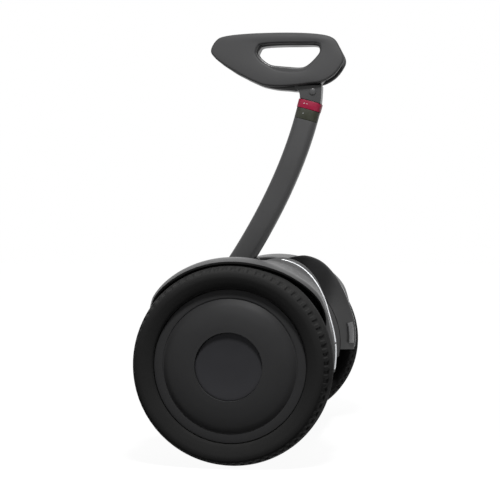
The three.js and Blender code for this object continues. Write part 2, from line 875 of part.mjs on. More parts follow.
function footMat(side) {
  let body = plateZ(matShape(side, 0), [matBottom, matTop], matBevel);
  for (const peg of matPegs(side)) {
    body = join(body, rodZ(matPegRadius, [matBottom - matPegReach, matBottom + matBevel], ...peg, screwFacets));
  }
  const pitch = (matFront + matRear) / (matRibs + 1);
  const across = [side * matInner, side * matOuter].sort((a, b) => a - b);
  for (let rib = 1; rib <= matRibs; rib += 1) {
    const x = -matRear + pitch * rib;
    body = cut(body, block(
      [x - matRibGap / 2, across[0] + matCorner, matTop - matRibDepth],
      [x + matRibGap / 2, across[1] - matCorner, matTop + overrun],
    ));
  }
  return body;
}

function footSensor(side) {
  const ends = [deckTop, sensorTop + overrun];
  const pegs = matPegs(side).map((peg) => rodZ(matPegRadius + 2 * seatGap, ends, ...peg, screwFacets));
  return cut(plateZ(matShape(side, sensorInset), [deckTop + seatGap, sensorTop]), ...pegs);
}

// Covers along the middle of the deck
function spineCover() {
  const bottom = deckTop + seatGap;
  const shell = (inset, top) => plateZ(
    roundedRectangle(
      [-spineRear + inset, -spineHalfWidth + inset],
      [spineFront - inset, spineHalfWidth - inset],
      spineCorner - inset / 2,
    ),
    [bottom - spineCorner, top],
    spineCorner / 2,
  );
  const below = block([-tyreRadius, -wheelPlane, 0], [tyreRadius, wheelPlane, bottom]);
  const windowOpening = displayBlock(-displayLedge, spineTop - spineWall - overrun, spineTop + overrun);
  const windowSeat = displayBlock(seatGap, spineTop - displayThickness - seatGap, spineTop + overrun);
  const buttonHole = rodZ(powerButtonRadius + seatGap, [spineTop - spineWall - overrun, spineTop + overrun],
    -powerButtonPlace, 0);
  return cut(
    shell(0, spineTop),
    shell(spineWall, spineTop - spineWall),
    below,
    windowOpening,
    windowSeat,
    buttonHole,
  );
}

function displayBlock(margin, bottom, top) {
  return block(
    [displayRear - margin, -displayHalfWidth - margin, bottom],
    [displayFront + margin, displayHalfWidth + margin, top],
  );
}

function displayWindow() {
  return displayBlock(0, spineTop - displayThickness, spineTop);
}

// The button's flange lies under the cover and stops it from falling out
function powerButton() {
  const flangeTop = spineTop - spineWall - seatGap;
  return join(
    rodZ(powerButtonRadius, [flangeTop - powerButtonHeight, spineTop + powerButtonProud], -powerButtonPlace, 0),
    rodZ(powerButtonRadius + powerButtonFlange, [flangeTop - powerButtonFlange, flangeTop], -powerButtonPlace, 0),
  );
}

// Front cowl: a shell in front of the frame, open behind, with a slot for the leaning stem
function cowlOutline(wall) {
  const rear = spineFront + seatGap + wall;
  const front = cowlFront - wall;
  const low = frameBottom - bellyWall + wall;
  const top = cowlTop - wall;
  return shapeThrough([
    [rear, low],
    [front - cowlCorner, low],
    [front, low + cowlCorner],
    [front, top - cowlSlope],
    [front - cowlCorner / 2, top],
    [rear, top],
  ]);
}

function frontCowl() {
  const outer = plateY(cowlOutline(0), [-cowlHalfWidth, cowlHalfWidth], cowlEdge);
  const hollow = plateY(cowlOutline(cowlWall), [-cowlHalfWidth + cowlWall, cowlHalfWidth - cowlWall], cowlEdge / 2);
  const slot = block(
    [spineFront + seatGap + cowlWall, -cowlSlotHalfWidth, cowlTop - overrun - cowlWall],
    [cowlFront - cowlCorner / 2, cowlSlotHalfWidth, cowlTop + overrun],
  );
  const notch = block(
    [spineFront - overrun, -cowlSlotHalfWidth, cowlTop - cowlNotchDepth],
    [spineFront + seatGap + cowlWall + overrun, cowlSlotHalfWidth, cowlTop + overrun],
  );
  const frameRoom = block(
    [-tyreRadius, -wheelPlane, 0],
    [frameFront + seatGap, wheelPlane, deckTop + seatGap],
  );
  return cut(outer, hollow, slot, notch, frameRoom, lampBlock(seatGap, overrun));
}

function lampBlock(margin, reach) {
  return block(
    [cowlFront - lampThickness - reach, -lampHalfWidth - margin, lampCentre - lampHeight / 2 - margin],
    [cowlFront + reach, lampHalfWidth + margin, lampCentre + lampHeight / 2 + margin],
  );
}

function headLamp() {
  return lampBlock(0, 0);
}

// Rear panel with the charging inlet and its hinged flap
function rearPanel() {
  const outside = roundedRectangle(
    [-rearPanelHalfWidth, bellyBottom + bellyWall],
    [rearPanelHalfWidth, deckTop],
    frameCorner / 2,
  );
  const panel = plateX(outside, [-frameRear - seatGap - rearPanelThickness, -frameRear - seatGap], bellyWall / 2);
  return cut(panel, portHole());
}

function portHole() {
  return rodX(portRadius + seatGap, [-tyreRadius, -frameRear + frameWall + overrun], -portPlace, portHeight);
}

function chargePort() {
  const face = -frameRear - rearPanelThickness;
  const back = face + portDepth;
  const bottom = back - portWall;
  const pins = [[portPinSpread, 0], [-portPinSpread, 0], [0, portPinSpread]].map(([across, up]) => (
    rodX(portPinRadius, [bottom - portPinLength, bottom + seatGap], -portPlace + across, portHeight + up, screwFacets)
  ));
  const barrel = cut(
    rodX(portRadius, [face, back], -portPlace, portHeight),
    rodX(portBore, [face - overrun, bottom], -portPlace, portHeight),
  );
  return join(barrel, ...pins);
}

function chargeCap() {
  const inner = -frameRear - seatGap - rearPanelThickness - seatGap;
  const half = capPlateWidth / 2;
  const shape = roundedRectangle([-portPlace - half, capHingeZ], [-portPlace + half, capHingeZ + capPlateWidth],
    capHingeRadius);
  const leaf = plateX(shape, [inner - capPlateThickness, inner], capPlateThickness / 4);
  return join(leaf, rodY(capHingeRadius, [-portPlace - half, -portPlace + half], capHingeX, capHingeZ, screwFacets));
}

// Fenders. Each line below runs round the wheel axis, as [turn towards the rear in degrees,
// share of the way out from the inner guard to the lip, share of the crown's radius].
const lipShares = [
  [-96, 0.476, 0.83], [-76, 0.484, 0.85], [-70, 0.492, 0.9], [-64, 0.55, 0.918], [-60, 0.62, 0.945],
  [-50, 0.84, 0.962], [-35, 0.968, 0.957], [0, 1, 0.953], [18, 0.984, 0.963], [34, 0.875, 0.981],
  [50, 0.653, 0.985], [58, 0.56, 0.965], [64, 0.51, 0.935], [74, 0.484, 0.865], [97, 0.48, 0.845],
];
const crownShares = [
  [-96, 0.464, 0.885], [-76, 0.476, 0.915], [-62, 0.56, 0.965], [-56, 0.66, 0.985], [-50, 0.76, 0.997],
  [-35, 0.855, 1.002], [0, 0.831, 1], [18, 0.831, 1.004], [34, 0.766, 1.014], [50, 0.589, 1.016],
  [60, 0.5, 0.975], [74, 0.468, 0.916], [97, 0.472, 0.885],
];
const valleyShares = [
  [-96, 0.444, 0.9], [-62, 0.468, 0.965], [-35, 0.444, 0.99], [0, 0.427, 0.977], [28, 0.45, 0.982],
  [50, 0.43, 0.99], [64, 0.435, 0.945], [80, 0.45, 0.92], [97, 0.456, 0.9],
];
const ridgeShares = [
  [-96, 0.323, 0.92], [-62, 0.226, 0.96], [-30, 0.056, 0.985], [0, 0.008, 0.959], [10, 0, 0.963],
  [16, 0, 1.009], [22, 0, 1.056], [31, 0.002, 1.078], [40, 0.032, 1.058], [52, 0.149, 1.005],
  [64, 0.274, 0.964], [80, 0.379, 0.942], [97, 0.419, 0.915],
];
const crestShare = 0.3;
const flankShare = 0.6;
const fenderTurns = [-95, 96];
const lightTurns = [13, 94];
const reflectorTurns = [76, 91];
const reflectorShares = [0.5, 0.8];

// A line's place at one turn, by a smooth curve through its neighbouring points
function follow(line, turnDegrees) {
  const last = line.length - 1;
  const index = Math.max(0, Math.min(last - 1, line.findIndex(([turn]) => turn > turnDegrees) - 1));
  const start = turnDegrees >= line[last][0] ? last - 1 : index;
  const part = (turnDegrees - line[start][0]) / (line[start + 1][0] - line[start][0]);
  const slope = (at, column) => {
    const before = line[Math.max(0, at - 1)];
    const after = line[Math.min(last, at + 1)];
    return (after[column] - before[column]) / (after[0] - before[0]);
  };
  return [1, 2].map((column) => {
    const span = line[start + 1][0] - line[start][0];
    const from = line[start][column];
    const to = line[start + 1][column];
    const squared = part * part;
    const cubed = squared * part;
    return from * (2 * cubed - 3 * squared + 1)
      + span * slope(start, column) * (cubed - 2 * squared + part)
      + to * (3 * squared - 2 * cubed)
      + span * slope(start + 1, column) * (cubed - squared);
  });
}

function lineAt(line, turnDegrees) {
  const [across, out] = follow(line, turnDegrees);
  return [guardInner + (lipOuter - guardInner) * across, crownRadius * out];
}

// The crest of the ridge and the flank below it, on the side of the wheel
function flankAt(turnDegrees) {
  const ridge = lineAt(ridgeShares, turnDegrees);
  const valley = lineAt(valleyShares, turnDegrees);
  const run = Math.min(crestWidth, (valley[0] - ridge[0]) * crestShare);
  return [
    [ridge[0] + run, ridge[1]],
    [ridge[0] + 2 * run, ridge[1] + (valley[1] - ridge[1]) * flankShare],
  ];
}

function towards(from, to) {
  const length = Math.hypot(to[0] - from[0], to[1] - from[1]);
  return [(to[0] - from[0]) / length, (to[1] - from[1]) / length];
}

// Section of the fender: over the outside from the lip to the inner edge, and back underneath
function fenderSection(turnDegrees) {
  const lip = lineAt(lipShares, turnDegrees);
  const crown = lineAt(crownShares, turnDegrees);
  const valley = lineAt(valleyShares, turnDegrees);
  const ridge = lineAt(ridgeShares, turnDegrees);
  const [crest, flank] = flankAt(turnDegrees);
  const edge = [linerPlace, edgeRadius];
  const under = (point, from, to) => {
    const [across, out] = towards(from, to);
    return [point[0] - fenderWall * out, point[1] + fenderWall * across];
  };
  const wall = towards(ridge, edge);
  const level = fenderWall / Math.abs(wall[1]);
  const knee = valley[1] - 2 * fenderWall;
  const kneeAcross = edge[0] + ((knee - edge[1]) * wall[0]) / wall[1] + level;
  return [
    lip,
    crown,
    valley,
    flank,
    crest,
    ridge,
    edge,
    [edge[0] + level, edge[1]],
    [kneeAcross, knee],
    under(valley, crown, flank),
    under(crown, lip, valley),
    under(lip, lip, crown),
  ];
}

function aroundWheel(side, [across, out], turnDegrees) {
  const angle = turnDegrees * degree;
  return new THREE.Vector3(-out * Math.sin(angle), side * across, axleHeight + out * Math.cos(angle));
}

function sweepAroundWheel(side, turns, steps, sectionAt) {
  const stations = Array.from({ length: steps + 1 }, (_, step) => turns[0] + ((turns[1] - turns[0]) * step) / steps);
  const sections = stations.map(sectionAt);
  return loft(sections, (point, station) => aroundWheel(side, point, stations[station]));
}

// The light strip lies in a groove along the middle of the flank
const lightSunkShare = 0.75;

function lightSection(turnDegrees, margin) {
  const [crest, flank] = flankAt(turnDegrees);
  const [across, out] = towards(crest, flank);
  const middle = [(crest[0] + flank[0]) / 2, (crest[1] + flank[1]) / 2];
  const at = (along, lift) => [
    middle[0] + across * along - out * lift,
    middle[1] + out * along + across * lift,
  ];
  const half = lightWidth / 2 + margin;
  const raised = lightThickness * (1 - lightSunkShare) + margin;
  const sunk = lightThickness * lightSunkShare + margin;
  return [at(-half, -sunk), at(half, -sunk), at(half, raised), at(-half, raised)];
}

function lightStrip(side, margin) {
  const extra = margin / (crownRadius * degree);
  const [from, to] = lightTurns;
  const steps = Math.round((to - from) / lightStep);
  return sweepAroundWheel(side, [from - extra, to + extra], steps, (turn) => lightSection(turn, margin));
}

function fender(side) {
  return cut(sweepAroundWheel(side, fenderTurns, fenderSteps, fenderSection), lightStrip(side, seatGap));
}

// The black wall between the foot and the wheel, inside the fender's inner edge
function innerLiner(side) {
  const bottom = deckTop + seatGap;
  const reach = Math.asin((bottom - axleHeight) / linerRadius);
  const shape = new THREE.Shape(arcPoints(linerRadius, reach, Math.PI - reach, linerFacets, 0, axleHeight));
  return plateY(shape, [side * linerPlace, side * (linerPlace + linerThickness)].sort((a, b) => a - b));
}

// A small reflector on the rear end of the fender's inner face
function rearReflector(side) {
  const at = (turnDegrees, share, lift) => {
    const ridge = lineAt(ridgeShares, turnDegrees);
    const edge = [linerPlace, edgeRadius];
    const wall = towards(edge, ridge);
    const across = edge[0] + (ridge[0] - edge[0]) * share;
    const out = edge[1] + (ridge[1] - edge[1]) * share;
    return [across - lift * wall[1], out + lift * wall[0]];
  };
  const low = 3 * seatGap;
  const high = low + reflectorThickness;
  const [near, far] = reflectorShares;
  return sweepAroundWheel(side, reflectorTurns, reflectorSteps, (turn) => [
    at(turn, near, low),
    at(turn, far, low),
    at(turn, far, high),
    at(turn, near, high),
  ]);
}

// Steering stem. Its middle line is one curve in the plane of symmetry.
const socketShare = 0.3;
const socketFloorShare = 0.02;
const latchShares = [0.27, 0.3, 0.345, 0.38];
const stemLean = (degrees, length) => [length * Math.sin(degrees * degree), length * Math.cos(degrees * degree)];
const [footPullX, footPullZ] = stemLean(stemFootLean, stemFootPull);
const [topPullX, topPullZ] = stemLean(stemTopLean, stemTopPull);
const stemLine = new THREE.CubicBezierCurve3(
  new THREE.Vector3(stemFootX, 0, stemFootZ),
  new THREE.Vector3(stemFootX - footPullX, 0, stemFootZ + footPullZ),
  new THREE.Vector3(stemTopX + topPullX, 0, stemTopZ - topPullZ),
  new THREE.Vector3(stemTopX, 0, stemTopZ),
);

function stemStretch(from, to) {
  const stretch = new THREE.Curve();
  stretch.getPoint = (share) => stemLine.getPoint(from + (to - from) * share);
  return stretch;
}

// A point behind the stem's middle line, as [x, z]
function behindStem(share, distance) {
  const point = stemLine.getPoint(share);
  const tangent = stemLine.getTangent(share);
  return [point.x - tangent.z * distance, point.z + tangent.x * distance];
}

function stemTube() {
  const inner = stemStretch(-socketFloorShare, 1 + socketFloorShare);
  return cut(
    barAlong(stemStretch(0, 1), stemDepth / 2, stemBreadth / 2, stemCorner, stemSteps),
    barAlong(inner, stemDepth / 2 - stemWall, stemBreadth / 2 - stemWall, stemCorner - stemWall, stemSteps),
  );
}

// Outside of the socket and of its arm, with an optional margin for what surrounds them
function socketBody(margin) {
  const wall = seatGap + socketWall + margin;
  const cup = barAlong(
    stemStretch(-socketFloorShare, socketShare),
    stemDepth / 2 + wall,
    stemBreadth / 2 + wall,
    stemCorner + wall,
    stemSteps / 2,
  );
  const arm = block(
    [armPlace - armThickness / 2 - margin, -armHalfWidth - margin, pivotHeight],
    [armPlace + armThickness / 2 + margin, armHalfWidth + margin, stemFootZ],
  );
  return join(cup, arm);
}

const latchEarShare = 1.5;

function stemSocket() {
  const ends = [armPlace - armThickness / 2, armPlace + armThickness / 2];
  const start = -seatGap / (3 * stemFootPull);
  const seat = barAlong(
    stemStretch(start, socketShare + socketFloorShare),
    stemDepth / 2 + seatGap,
    stemBreadth / 2 + seatGap,
    stemCorner + seatGap,
    stemSteps / 2,
  );
  const [hubX, hubZ] = latchHub();
  const earInner = latchBreadth / 2 + seatGap;
  const [earX, earZ] = behindStem(latchShares[0], stemDepth / 2 + seatGap + socketWall / 2);
  const ears = [1, -1].map((side) => {
    const across = [side * earInner, side * (earInner + latchEarThickness)].sort((a, b) => a - b);
    const outline = shapeThrough([
      [earX - latchHubRadius / 2, earZ - latchHubRadius * latchEarShare],
      [hubX - latchHubRadius / 2, hubZ - latchHubRadius],
      [hubX - latchHubRadius, hubZ],
      [hubX - latchHubRadius / 2, hubZ + latchHubRadius],
      [earX, earZ + latchHubRadius * latchEarShare],
    ]);
    return plateY(outline, across);
  });
  return cut(
    join(
      cut(socketBody(0), seat),
      rodX(armHalfWidth + seatGap, ends, 0, pivotHeight),
      ...ears.map((ear) => cut(ear, seat)),
    ),
    rodX(pivotRadius + seatGap, [ends[0] - overrun, ends[1] + overrun], 0, pivotHeight),
    rodY(latchPinRadius + seatGap, [-stemDepth, stemDepth], hubX, hubZ, screwFacets),
  );
}

function latchHub() {
  return behindStem(latchShares[0], stemDepth / 2 + socketWall + 2 * seatGap + latchHubRadius);
}

// A lever behind the stem that clamps the stem in its socket, with its own pin
function stemLatch() {
  const [hubX, hubZ] = latchHub();
  const near = stemDepth / 2 + 2 * seatGap;
  const [, low, middle, top] = latchShares;
  const outline = shapeThrough([
    [hubX + latchHubRadius / 2, hubZ],
    behindStem(low + socketFloorShare / 2, near + socketWall),
    behindStem(middle, near),
    behindStem(top, near),
    behindStem(top, near + latchThickness),
    behindStem(middle, near + latchThickness),
    behindStem(low, near + latchThickness + latchHubRadius),
    [hubX - latchHubRadius / 2, hubZ],
  ]);
  const half = latchBreadth / 2;
  return join(
    plateY(outline, [-half, half]),
    rodY(latchHubRadius, [-half, half], hubX, hubZ, shaftFacets / 2),
    rodY(latchPinRadius, [-half - latchEarThickness, half + latchEarThickness], hubX, hubZ, screwFacets),
  );
}

function pivotShaft() {
  return rodX(pivotRadius, [pivotRear, armPlace + armThickness / 2], 0, pivotHeight);
}

// Two bearings with a spacer sleeve between them
function pivotBearings() {
  const rear = frameFront - pivotHousingLength;
  return cut(
    join(
      rodX(bearingHousingRadius, [rear, rear + pivotBearingWidth], 0, pivotHeight),
      rodX(bearingHousingRadius, [frameFront - pivotBearingWidth, frameFront], 0, pivotHeight),
      rodX(pivotRadius + spacerWall, [rear, frameFront], 0, pivotHeight),
    ),
    rodX(pivotRadius + seatGap, [rear - overrun, frameFront + overrun], 0, pivotHeight),
  );
}

// The spring that brings the stem upright: one open coil round the shaft
function centringSpring() {
  const start = frameFront + seatGap + springWire / 2;
  const end = armPlace - armThickness / 2 - seatGap - springWire / 2;
  const place = (share) => {
    const angle = share * springTurns * 2 * Math.PI;
    return new THREE.Vector3(
      start + (end - start) * share,
      springRadius * Math.cos(angle),
      pivotHeight + springRadius * Math.sin(angle),
    );
  };
  const line = new THREE.Curve();
  line.getPoint = place;
  const steps = Math.round(springTurns * springStepsPerTurn);
  const points = Array.from({ length: steps + 1 }, (_, step) => place(step / steps));
  const apart = Math.round(springStepsPerTurn / 2);
  const gapsFrom = (point, index) => points.slice(index + apart).map((other) => point.distanceTo(other));
  const gaps = points.flatMap(gapsFrom);
  console.log(`least gap between the turns of the centring spring: ${(Math.min(...gaps) - springWire).toFixed(2)} mm`);
  const section = new THREE.Shape(arcPoints(springWire / 2, 0, 2 * Math.PI, springSides).slice(1));
  return solid(new THREE.ExtrudeGeometry(section, { steps, extrudePath: line }));
}

// A curved shield round the arm that keeps the cowl's slot closed while the stem leans
function dustShield() {
  const reach = [-shieldReach, shieldReach].map((turn) => Math.PI / 2 + turn * degree);
  const shape = new THREE.Shape([
    ...arcPoints(shieldRadius + shieldThickness, reach[0], reach[1], shieldFacets, 0, pivotHeight),
    ...arcPoints(shieldRadius, reach[1], reach[0], shieldFacets, 0, pivotHeight),
  ]);
  return cut(plateX(shape, [spineFront + cowlWall + screwHeadRadius, shieldFront]), socketBody(seatGap));
}

// The straight top of the stem. A place there is a distance along it from the stem's end and
// a distance forwards from its middle line.
function alongTop(distance, forwards = 0) {
  const [back, up] = stemLean(stemTopLean, 1);
  return [stemTopX - back * distance + up * forwards, stemTopZ + up * distance + back * forwards];
}

function topBar(from, to, halfDepth, halfBreadth, corner) {
  const ends = [from, to].map((distance) => {
    const [x, z] = alongTop(distance);
    return new THREE.Vector3(x, 0, z);
  });
  return barAlong(new THREE.LineCurve3(...ends), halfDepth, halfBreadth, corner, 1);
}

function mastBar(from, to, margin) {
  return topBar(from, to, mastDepth / 2 + margin, mastBreadth / 2 + margin, mastCorner + margin);
}

function scaleSleeve() {
  return cut(
    topBar(seatGap, seatGap + sleeveHeight, stemDepth / 2, stemBreadth / 2, stemCorner),
    mastBar(-overrun, sleeveHeight + overrun, seatGap),
  );
}

function collar() {
  const start = sleeveHeight + 2 * seatGap;
  return cut(
    topBar(start, start + collarHeight, stemDepth / 2 + collarProud, stemBreadth / 2 + collarProud, stemCorner),
    mastBar(start - overrun, start + collarHeight + overrun, seatGap),
  );
}

function headMast() {
  return mastBar(-mastInsertion, mastReach, 0);
}

// Head. Outlines are closed curves through [share of the length from the rear, share of the height].
const coreOutlineShares = [
  [0.977, 0.701], [0.941, 0.841], [0.879, 0.915], [0.705, 0.957], [0.418, 0.961], [0.203, 0.927],
  [0.105, 0.854], [0.051, 0.695], [0.026, 0.537], [0.046, 0.415], [0.095, 0.274], [0.151, 0.177],
  [0.192, 0.073], [0.264, 0.006], [0.354, -0.018], [0.423, -0.001], [0.512, 0.02], [0.603, 0.068],
  [0.664, 0.128], [0.731, 0.207], [0.815, 0.311], [0.9, 0.451], [0.956, 0.567],
];
const coreHoleShares = [
  [0.649, 0.652], [0.636, 0.738], [0.608, 0.78], [0.5, 0.796], [0.346, 0.795], [0.213, 0.78],
  [0.19, 0.72], [0.195, 0.646], [0.244, 0.512], [0.295, 0.421], [0.342, 0.4], [0.418, 0.415],
  [0.492, 0.433], [0.553, 0.457], [0.608, 0.537],
];
const padOutlineShares = [
  [1, 0.707], [0.964, 0.878], [0.896, 0.959], [0.708, 0.998], [0.42, 1], [0.195, 0.963],
  [0.082, 0.884], [0.031, 0.707], [0.003, 0.537], [0.026, 0.39], [0.082, 0.232], [0.167, 0.122],
  [0.272, 0.091], [0.405, 0.0585], [0.518, 0.056], [0.613, 0.087], [0.727, 0.207], [0.818, 0.329],
  [0.909, 0.463], [0.969, 0.579],
];
const padHoleShares = [
  [0.659, 0.646], [0.647, 0.75], [0.618, 0.802], [0.503, 0.817], [0.349, 0.815], [0.205, 0.802],
  [0.179, 0.732], [0.185, 0.634], [0.236, 0.476], [0.287, 0.36], [0.338, 0.312], [0.42, 0.312],
  [0.503, 0.348], [0.569, 0.432], [0.626, 0.524],
];

function headCurve(shares, samples) {
  const points = shares.map(([along, up]) => new THREE.Vector3(
    headFront - headLength + headLength * along,
    headLow + headHeight * up,
    0,
  ));
  const curve = new THREE.CatmullRomCurve3(points, true);
  return curve.getSpacedPoints(samples).slice(0, -1).map(({ x, y }) => [x, y]);
}

const holeSampleShare = 0.75;

function headShape(outline, hole) {
  const shape = shapeThrough(headCurve(outline, headSamples));
  shape.holes.push(shapeThrough(headCurve(hole, headSamples * holeSampleShare)));
  return shape;
}

const neckFilletShare = 0.2;

function headCore() {
  const neckBottom = sleeveHeight + collarHeight + 3 * seatGap;
  const [frontLowX, frontLowZ] = alongTop(neckBottom, neckDepth / 2);
  const [rearLowX, rearLowZ] = alongTop(neckBottom, -neckDepth / 2);
  const neckOutline = shapeThrough([
    [rearLowX, rearLowZ],
    [frontLowX, frontLowZ],
    [frontLowX, (frontLowZ + neckTop) / 2],
    [frontLowX + neckDepth * neckFilletShare, neckTop],
    [rearLowX - coreBevel, neckTop],
    [rearLowX - coreBevel / 2, (rearLowZ + neckTop) / 2],
  ]);
  const body = join(
    plateY(headShape(coreOutlineShares, coreHoleShares), [-coreBreadth / 2, coreBreadth / 2], coreBevel, 1),
    plateY(neckOutline, [-neckBreadth / 2, neckBreadth / 2], coreBevel, 1),
  );
  const [buttonX, buttonZ] = alongTop(heightButtonPlace);
  const buttonWell = rodY(
    heightButtonRadius + seatGap,
    [neckBreadth / 2 - heightButtonThickness - seatGap, neckBreadth],
    buttonX,
    buttonZ,
  );
  return cut(body, mastBar(neckBottom - overrun, mastReach + seatGap, seatGap), buttonWell);
}

function kneePad(side) {
  const inner = coreBreadth / 2 + seatGap;
  const outer = inner + padBreadth;
  const hidden = outer - 2 * padCrown - overrun / 4;
  const cushion = plateY(headShape(padOutlineShares, padHoleShares), [hidden, outer], padCrown, padCrownFacets);
  const hiddenPart = block(
    [-headLength, -headLength, headLow - headHeight],
    [headLength, inner, headLow + 2 * headHeight],
  );
  const kept = cut(cushion, hiddenPart);
  return side > 0 ? kept : mirroredAcross(kept);
}

function mirroredAcross(body) {
  return solid(geometryOf(body).scale(1, -1, 1));
}

function heightButton() {
  const [x, z] = alongTop(heightButtonPlace);
  const seat = neckBreadth / 2 - heightButtonThickness + heightButtonProud - seatGap;
  return rodY(heightButtonRadius, [seat, neckBreadth / 2 + heightButtonProud], x, z);
}

wheel(1, 'left');
wheel(-1, 'right');

for (const [side, sideName] of [[1, 'left'], [-1, 'right']]) {
  add(`fender_${sideName}`, fender(side), shellBlack, 0.4, 0);
  add(`light_strip_${sideName}`, lightStrip(side, 0), lightWhite, 0.25, 0);
  add(`inner_liner_${sideName}`, innerLiner(side), deepBlack, 0.7, 0);
  add(`foot_mat_${sideName}`, footMat(side), matBlack, 0.9, 0);
  add(`foot_sensor_${sideName}`, footSensor(side), boardGreen, 0.5, 0);
  add(`axle_clamp_${sideName}`, axleClamp(side), castGrey, 0.5, 0.8);
  add(`rear_reflector_${sideName}`, rearReflector(side), lightWhite, 0.3, 0);
  add(`knee_pad_${sideName}`, kneePad(side), padGrey, 0.7, 0);
}
add('chassis_frame', chassisFrame(), castGrey, 0.55, 0.8);
add('belly_cover', bellyCover(), shellBlack, 0.6, 0);
add('battery_pack', batteryPack(), deepBlack, 0.5, 0);
add('control_board', controlBoard(), boardGreen, 0.5, 0.1);
add('spine_cover', spineCover(), shellBlack, 0.45, 0);
add('display_window', displayWindow(), glassBlack, 0.1, 0);
add('power_button', powerButton(), satinBlack, 0.5, 0);
add('front_cowl', frontCowl(), shellBlack, 0.45, 0);
add('head_lamp_lens', headLamp(), lightWhite, 0.15, 0);
add('rear_panel', rearPanel(), shellBlack, 0.5, 0);
add('charge_port', chargePort(), satinBlack, 0.4, 0);
add('charge_cap', chargeCap(), tyreBlack, 0.8, 0);
add('pivot_shaft', pivotShaft(), steelGrey, 0.3, 0.95);
add('pivot_bearings', pivotBearings(), steelGrey, 0.3, 0.95);
add('centring_spring', centringSpring(), steelGrey, 0.35, 0.95);
add('stem_socket', stemSocket(), satinBlack, 0.5, 0.4);
add('dust_shield', dustShield(), deepBlack, 0.7, 0);
add('stem_latch', stemLatch(), deepBlack, 0.5, 0);
add('stem_tube', stemTube(), headGrey, 0.45, 0.3);
add('scale_sleeve', scaleSleeve(), sleeveOlive, 0.6, 0);
add('collar', collar(), collarRed, 0.5, 0);
add('head_mast', headMast(), steelGrey, 0.35, 0.9);
add('head_core', headCore(), headGrey, 0.55, 0);
add('height_button', heightButton(), deepBlack, 0.5, 0);

export default transporter;
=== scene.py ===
import math

import bmesh
import bpy
from bpy.props import FloatProperty, FloatVectorProperty, IntProperty, PointerProperty
from mathutils import Matrix, Vector


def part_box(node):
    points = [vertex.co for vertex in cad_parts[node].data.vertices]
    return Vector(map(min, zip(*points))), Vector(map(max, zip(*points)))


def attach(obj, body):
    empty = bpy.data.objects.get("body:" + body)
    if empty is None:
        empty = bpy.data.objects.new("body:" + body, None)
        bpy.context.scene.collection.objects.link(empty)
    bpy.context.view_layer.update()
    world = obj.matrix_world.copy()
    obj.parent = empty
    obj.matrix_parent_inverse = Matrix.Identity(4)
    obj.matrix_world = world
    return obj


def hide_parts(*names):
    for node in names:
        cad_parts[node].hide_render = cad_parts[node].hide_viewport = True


bl_info = {
    "name": "Self balancing transporter",
    "version": (1, 0, 0),
    "blender": (4, 5, 0),
    "location": "3D View > Sidebar > Transporter",
    "description": "Builds the visible pieces of a self balancing transporter round its solid model",
    "category": "Object",
}

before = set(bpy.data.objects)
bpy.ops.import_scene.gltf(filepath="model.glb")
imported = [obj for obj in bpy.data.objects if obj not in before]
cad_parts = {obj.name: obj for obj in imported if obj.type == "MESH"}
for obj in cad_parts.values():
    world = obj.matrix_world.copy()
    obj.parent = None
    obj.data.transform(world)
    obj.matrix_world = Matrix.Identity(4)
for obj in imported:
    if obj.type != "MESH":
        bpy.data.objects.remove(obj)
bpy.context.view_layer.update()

# Units and directions. The model is in metres: +X forwards, +Y to the rider's left, +Z up.
MM = 0.001
DEGREE = math.pi / 180
SIDES = {"left": 1, "right": -1}

# Mesh work: distances for welding, and how finely round edges are divided
TINY = 1e-6
SPIN_WELD = 1e-7
SOLID_WELD = 2e-6
FLAT_DEGREES = 1.5
SHARP_DEGREES = 38
EASE_LIMIT = 0.48
SPAN_SAMPLES = 16
EDGE_FACETS = 3
CAST_FACETS = 2
CORNER_FACETS = 6
END_FACETS = 4

# Sizes that come from the solid model
TYRE_LOW, TYRE_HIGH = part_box("tyre_left")
HUB_LOW, HUB_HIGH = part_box("hub_cover_left")
CAP_LOW, CAP_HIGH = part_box("centre_cap_left")
RIM_LOW, RIM_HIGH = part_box("rim_left")
LINER_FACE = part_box("inner_liner_left")[0].y
COVER_LOW, COVER_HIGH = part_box("rotor_cover_left")
AXLE_HEIGHT = (TYRE_LOW.z + TYRE_HIGH.z) / 2
TYRE_RADIUS = (TYRE_HIGH.z - TYRE_LOW.z) / 2
WHEEL_PLANE = (TYRE_LOW.y + TYRE_HIGH.y) / 2
TYRE_HALF = (TYRE_HIGH.y - TYRE_LOW.y) / 2
HUB_RADIUS = (HUB_HIGH.z - HUB_LOW.z) / 2
HUB_BACK = HUB_LOW.y - WHEEL_PLANE
HUB_FRONT = HUB_HIGH.y - WHEEL_PLANE
CAP_RADIUS = (CAP_HIGH.z - CAP_LOW.z) / 2
CAP_BACK = CAP_LOW.y - WHEEL_PLANE
CAP_FRONT = CAP_HIGH.y - WHEEL_PLANE
RIM_RADIUS = (RIM_HIGH.z - RIM_LOW.z) / 2
RIM_HALF = (RIM_HIGH.y - RIM_LOW.y) / 2
COVER_RADIUS = (COVER_HIGH.z - COVER_LOW.z) / 2

# Wheels
WHEEL_STEPS = 180
TREAD_STEPS = 432
RIM_SEAT = 94 * MM
RIM_WALL = 5 * MM
BEAD_FACE = 20 * MM
TYRE_WALL = 7 * MM
RIM_SEAT_GAP = 0.3 * MM
BEARING_SEAT = 17.6 * MM
HUB_DOME_RADIUS = 87 * MM
HUB_GROOVE = 1.8 * MM
HUB_GROOVE_DEPTH = 1 * MM
HUB_WALL = 2.5 * MM
HUB_RECESS_RADIUS = 43.5 * MM
HUB_RECESS_DEPTH = 8 * MM
CAP_DISH = 2.2 * MM
CAP_STEPS = 96
CAP_RIM_SHARE = 0.94
CAP_BEND_SHARES = (0.55, 0.75)
CAP_EDGE_SHARE = 0.5
TRIM_EDGE_SHARE = 0.6
DISH_SPAN_SAMPLES = 8
BOSS_WALL = 4 * MM
RIM_WEB_SETBACK = 4 * MM
RIM_WEB = 5 * MM
RIM_BOSS_LENGTH = 9 * MM

